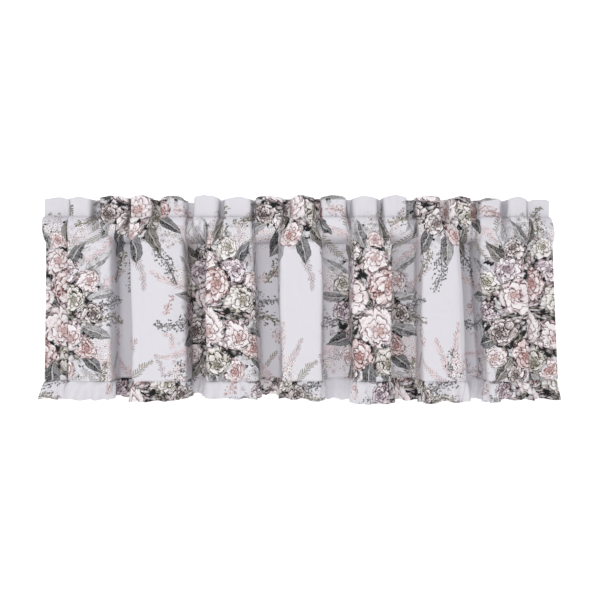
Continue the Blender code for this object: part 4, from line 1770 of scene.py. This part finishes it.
    def blossom(self, spot: Spot) -> Layer:
        """Cluster of small five-petalled blossoms.

        Args:
            spot: What gather() found.

        Returns:
            The painted cluster.
        """
        look = self.look
        x, y, _, tint = spot
        cells = self.cloth.cells(look.blossoms)
        chance, turn, _ = cells["Color"].parts()
        out = self.cloth.vector("SUBTRACT", cells["Position"]).vector("SCALE", look.blossoms)
        across, up, _ = out.parts()
        away = (across * across + up * up).math("SQRT")
        petals = up.math("ARCTAN2", across) * (0.5 * look.blossom_petals) + turn * 6.0
        petals = petals.math("COSINE").math("ABSOLUTE")
        reach = away / (petals * 0.24 + 0.30)
        kept = (x * x + y * y + (chance - 0.5) * 0.7).ease(0.95, 0.80)
        light = chance * 0.6 + petals * 0.35 + (self.brush - 0.5) * 0.8
        colour = colour_mix(light.ease(0.05, 0.75), tint.ramp(look.sprig_paints), look.petal_rim)
        heart = away.ease(0.16, 0.08)
        border = reach.ease(0.78, 1.0) * self.brush.ease(0.36, 0.56)
        colour = colour_mix(heart.math("MAXIMUM", border) * look.leaf_lines, colour, look.ink)
        return Layer(colour, reach.math("LESS_THAN", 1.0) * kept)

    def foliage(self) -> Layer:
        """Small leaves and shadows that fill a bouquet between and around its roses.

        Returns:
            The painted foliage.
        """
        look = self.look
        found: object = (0.0, look.far, 0.0)
        near: object = look.far
        for repeated, bouquet in zip(self.repeats, BOUQUETS):
            if bouquet.roses:
                tall = max(rose.y + rose.length for rose in bouquet.roses)
                size = (1.0 / look.foliage_half, look.foliage_rise / tall, 0.0)
                away = repeated.vector("MULTIPLY", size).vector("LENGTH")
                closer = away.math("LESS_THAN", near)
                found = closer.node("ShaderNodeMix", closer, found, repeated, data_type="VECTOR")
                near = away.math("MINIMUM", near)
        x, y, _ = found.parts()
        ray = y.math("ARCTAN2", x) * look.foliage_rays
        out = found.vector("MULTIPLY", (1.0, 1.0, 0.0)).vector("LENGTH") * look.foliage_rows
        place = vector_of(ray + (self.blotch - 0.5) * 2.0, out + (self.brush - 0.5) * 0.6)
        cells = place.cells(1.0)
        chance, _, _ = cells["Color"].parts()
        gap = cells["Distance"]
        light = chance - gap * 1.2 + (self.brush - 0.5) * 1.1 + 0.34
        tinted = chance.ramp(look.foliage_paints)
        colour = colour_mix(light.ease(0.0, 0.7), look.leaf_shades[0], tinted)
        colour = colour_mix(light.ease(0.7, 1.2), colour, look.petal_rim)
        inside = near + (chance - 0.5) * 0.30 + (self.blotch - 0.5) * 0.8
        soft = inside.ease(1.28, 0.98) * 0.42
        return Layer(colour, inside.ease(0.98, 0.90).math("MAXIMUM", soft * gap.ease(0.62, 0.40)))

    def colour(self) -> Field:
        """Colour of the print, with all its motifs."""
        layers = [
            self.sprig(self.gather("sprigs")),
            self.plume(self.gather("plumes")),
            self.foliage(),
            self.blossom(self.gather("blossoms")),
            self.leaf(self.gather("leaves")),
            self.rose(self.gather("roses")),
        ]
        washed = self.blotch.ease(0.60, 0.85) * 0.35
        colour = colour_mix(washed, self.look.ground, self.look.wash)
        for layer in layers:
            colour = colour_mix(layer.mask, colour, layer.colour)
        return colour


@dataclass(frozen=True)
class PlainWeave:
    """Fine plain weave with thicker threads here and there, and soft crinkles."""

    threads: float = 1900.0        # threads in a metre
    crinkle: float = 30.0          # crinkles in a metre
    slub_width: float = 900.0      # thick and thin places in a metre across the threads
    slub_length: float = 40.0      # the same along them
    weave_share: float = 0.05      # part of the relief that is weave
    slub_share: float = 0.10       # part that is thick and thin threads
    crinkle_share: float = 0.85    # part that is crinkles

    def group(self) -> bpy.types.NodeTree:
        """The weave as a node group that gives a height and a thread mask."""
        group = new_group(
            "plain_weave",
            {"Cloth": "NodeSocketVector"},
            {"Height": "NodeSocketFloat", "Thread": "NodeSocketFloat"},
        )
        start = Field(group, group.nodes["in"].outputs["Cloth"])
        x, y, _ = start.parts()
        turn = math.pi * self.threads
        warp = (x * turn).math("SINE")
        weft = (y * turn).math("SINE")
        weave = (warp * warp + weft * weft) * 0.5
        slub_x = vector_of(x * self.slub_length, y * self.slub_width).noise(1.0, 2.0)
        slub_y = vector_of(x * self.slub_width, y * self.slub_length).noise(1.0, 2.0)
        thread = (slub_x + slub_y) * 0.5
        crinkle = start.noise(self.crinkle, 3.0)
        height = weave * self.weave_share + thread * self.slub_share + crinkle * self.crinkle_share
        group.links.new(height.socket, group.nodes["out"].inputs["Height"])
        group.links.new(thread.socket, group.nodes["out"].inputs["Thread"])
        return group


class Side(Enum):
    """Side of the printed cloth, with the share of the print's colour that shows on it."""

    RIGHT = 1.0
    WRONG = 0.35


@dataclass(frozen=True)
class PrintedCloth:
    """Finish of one side of a sheet of the printed cloth."""

    name: str
    side: Side = Side.RIGHT
    shift: tuple[float, float] = (0.0, 0.0)   # from the sheet's own place to that on the print
    roughness: float = 0.82
    crinkle_height: float = 0.0030
    thread_tone: float = 0.10        # how much a thick thread changes the colour
    thread_roughness: float = 0.12   # how much it changes the roughness

    def material(self, print_: bpy.types.NodeTree, weave: bpy.types.NodeTree) -> bpy.types.Material:
        """Make the material.

        Args:
            print_: Node group of the print.
            weave: Node group of the weave.

        Returns:
            The material.
        """
        surface = Surface(self.name)
        flat = add_node(surface.tree, "ShaderNodeUVMap", uv_map=UV_NAME)["UV"]
        shifted = flat.vector("ADD", (*self.shift, 0.0))
        colour = add_node(surface.tree, "ShaderNodeGroup", shifted, node_tree=print_)["Colour"]
        if self.side is Side.WRONG:
            colour = colour_mix(self.side.value, FlowerPrint().ground, colour)
        woven = add_node(surface.tree, "ShaderNodeGroup", flat, node_tree=weave)
        uneven = woven["Thread"] - 0.5
        shade = uneven * self.thread_tone + 1.0
        surface.feed({
            "Base Color": colour_mix(1.0, colour, vector_of(shade, shade, shade), "MULTIPLY"),
            "Roughness": uneven * self.thread_roughness + self.roughness,
            "Normal": surface.relief(woven["Height"], self.crinkle_height),
            "Specular IOR Level": 0.25,
            "Sheen Weight": 0.05,
            "Sheen Roughness": 0.5,
        })
        return surface.material


@dataclass(frozen=True)
class SewingThread:
    """Finish of the off-white sewing thread, with its twist."""

    name: str = "sewing_thread"
    colour: Colour = paint(222, 218, 220)
    shadow: Colour = paint(176, 170, 174)
    twist: float = 2600.0        # turns of noise in a metre
    twist_height: float = 0.0001

    def material(self) -> bpy.types.Material:
        """Make the material."""
        surface = Surface(self.name)
        fibre = add_node(surface.tree, "ShaderNodeTexCoord")["Object"].noise(self.twist, 2.0)
        surface.feed({
            "Base Color": colour_mix(fibre.ease(0.35, 0.65), self.shadow, self.colour),
            "Roughness": fibre * 0.2 + 0.5,
            "Normal": surface.relief(fibre, self.twist_height),
            "Specular IOR Level": 0.35,
        })
        return surface.material


@dataclass(frozen=True)
class PaleFloor:
    """Finish of the studio's floor, whose own faint light keeps it white."""

    name: str = "pale_floor"
    colour: Colour = (0.97, 0.97, 0.97)
    glow: float = 0.30

    def material(self) -> bpy.types.Material:
        """Make the material."""
        surface = Surface(self.name)
        surface.feed({
            "Base Color": self.colour,
            "Roughness": 1.0,
            "Specular IOR Level": 0.0,
            "Emission Color": (1.0, 1.0, 1.0),
            "Emission Strength": self.glow,
        })
        return surface.material


# ---------------------------------------------------------------- studio

@dataclass
class Studio:
    """Pale floor that curves up into a backdrop, soft light, and the camera in the photo's place."""

    floor_height: float = -1.20
    wall_place: float = 3.20      # how far back the backdrop stands
    wall_top: float = 4.0
    curve: float = 1.20           # radius of the bend between the floor and the backdrop
    reach: float = 30.0           # how far the floor goes to the front and the sides
    camera_place: tuple[float, float, float] = (-0.0011, -1.5, -0.234)
    lens: float = 39.8
    sensor: float = 36.0
    dome: float = 0.58                             # light from above
    horizon: float = 1.03                          # light from the sides
    dome_edge: tuple[float, float] = (0.20, 0.45)  # heights between which one turns into the other
    lamp_place: tuple[float, float, float] = (-0.35, -2.7, 0.25)
    lamp_turn: tuple[float, float, float] = (80.0, 0.0, -7.0)
    lamp_size: tuple[float, float] = (1.6, 1.2)
    lamp_watts: float = 22.5

    def build(self) -> None:
        """Set up the camera, the lights and the floor."""
        self.camera()
        self.sky()
        self.lamp()
        self.backdrop()

    def backdrop(self) -> bpy.types.Object:
        """Make the floor with its curved backdrop."""
        turn = np.linspace(0.0, 0.5 * math.pi, 17)
        y = self.wall_place - self.curve + self.curve * np.sin(turn)
        z = self.floor_height + self.curve * (1.0 - np.cos(turn))
        path = np.column_stack([
            np.concatenate([[-self.reach], y, [self.wall_place]]),
            np.concatenate([[self.floor_height], z, [self.wall_top]]),
        ])
        x = np.linspace(-self.reach, self.reach, 3)
        points = np.empty((len(path), len(x), 3))
        points[..., 0] = x
        points[..., 1:] = path[:, None, :]
        floor = bent_grid("floor", points, points[..., :2])
        floor.data.shade_smooth()
        floor.data.materials.append(PaleFloor().material())
        return floor

    def sky(self) -> None:
        """Make the pale dome, which is brightest at the horizon."""
        world = bpy.data.worlds.new("dome")
        world.use_nodes = True
        tree = world.node_tree
        _, _, up = add_node(tree, "ShaderNodeTexCoord")["Generated"].parts()
        strength = up.ease(*self.dome_edge) * (self.dome - self.horizon) + self.horizon
        shade = tree.nodes["Background"]
        fill(tree, shade.inputs["Color"], (1.0, 1.0, 1.0))
        fill(tree, shade.inputs["Strength"], strength)
        bpy.context.scene.world = world

    def lamp(self) -> None:
        """Make one large soft light near the camera."""
        turn = [math.radians(angle) for angle in self.lamp_turn]
        bpy.ops.object.light_add(type="AREA", location=self.lamp_place, rotation=turn)
        lamp = bpy.context.object
        lamp.name = "soft_light"
        lamp.data.shape = "RECTANGLE"
        lamp.data.size, lamp.data.size_y = self.lamp_size
        lamp.data.energy = self.lamp_watts

    def camera(self) -> None:
        """Put the camera in the photo's place."""
        bpy.ops.object.camera_add(location=self.camera_place, rotation=(0.5 * math.pi, 0.0, 0.0))
        camera = bpy.context.object
        camera.name = "photo_camera"
        camera.data.lens = self.lens
        camera.data.sensor_width = self.sensor
        bpy.context.scene.camera = camera
        bpy.context.scene.view_settings.view_transform = "Standard"


# ---------------------------------------------------------------- the valance

def main() -> None:
    """Build the studio and the valance."""
    logging.basicConfig(level=logging.INFO, format="%(message)s")
    Studio().build()
    print_ = FlowerPrint().group()
    weave = PlainWeave().group()
    wrong = PrintedCloth("printed_cloth_wrong_side", Side.WRONG).material(print_, weave)
    right = PrintedCloth("printed_cloth").material(print_, weave)
    strip = PrintedCloth("printed_strip", shift=(0.21, -0.235)).material(print_, weave)
    thread = SewingThread().material()
    cloth = HungCloth()
    for part, face in ((Heading(cloth), right), (Panel(cloth), right), (HemRuffle(cloth), strip)):
        part.sew(Finishes(face, wrong), thread)


if __name__ == "__main__":
    main()
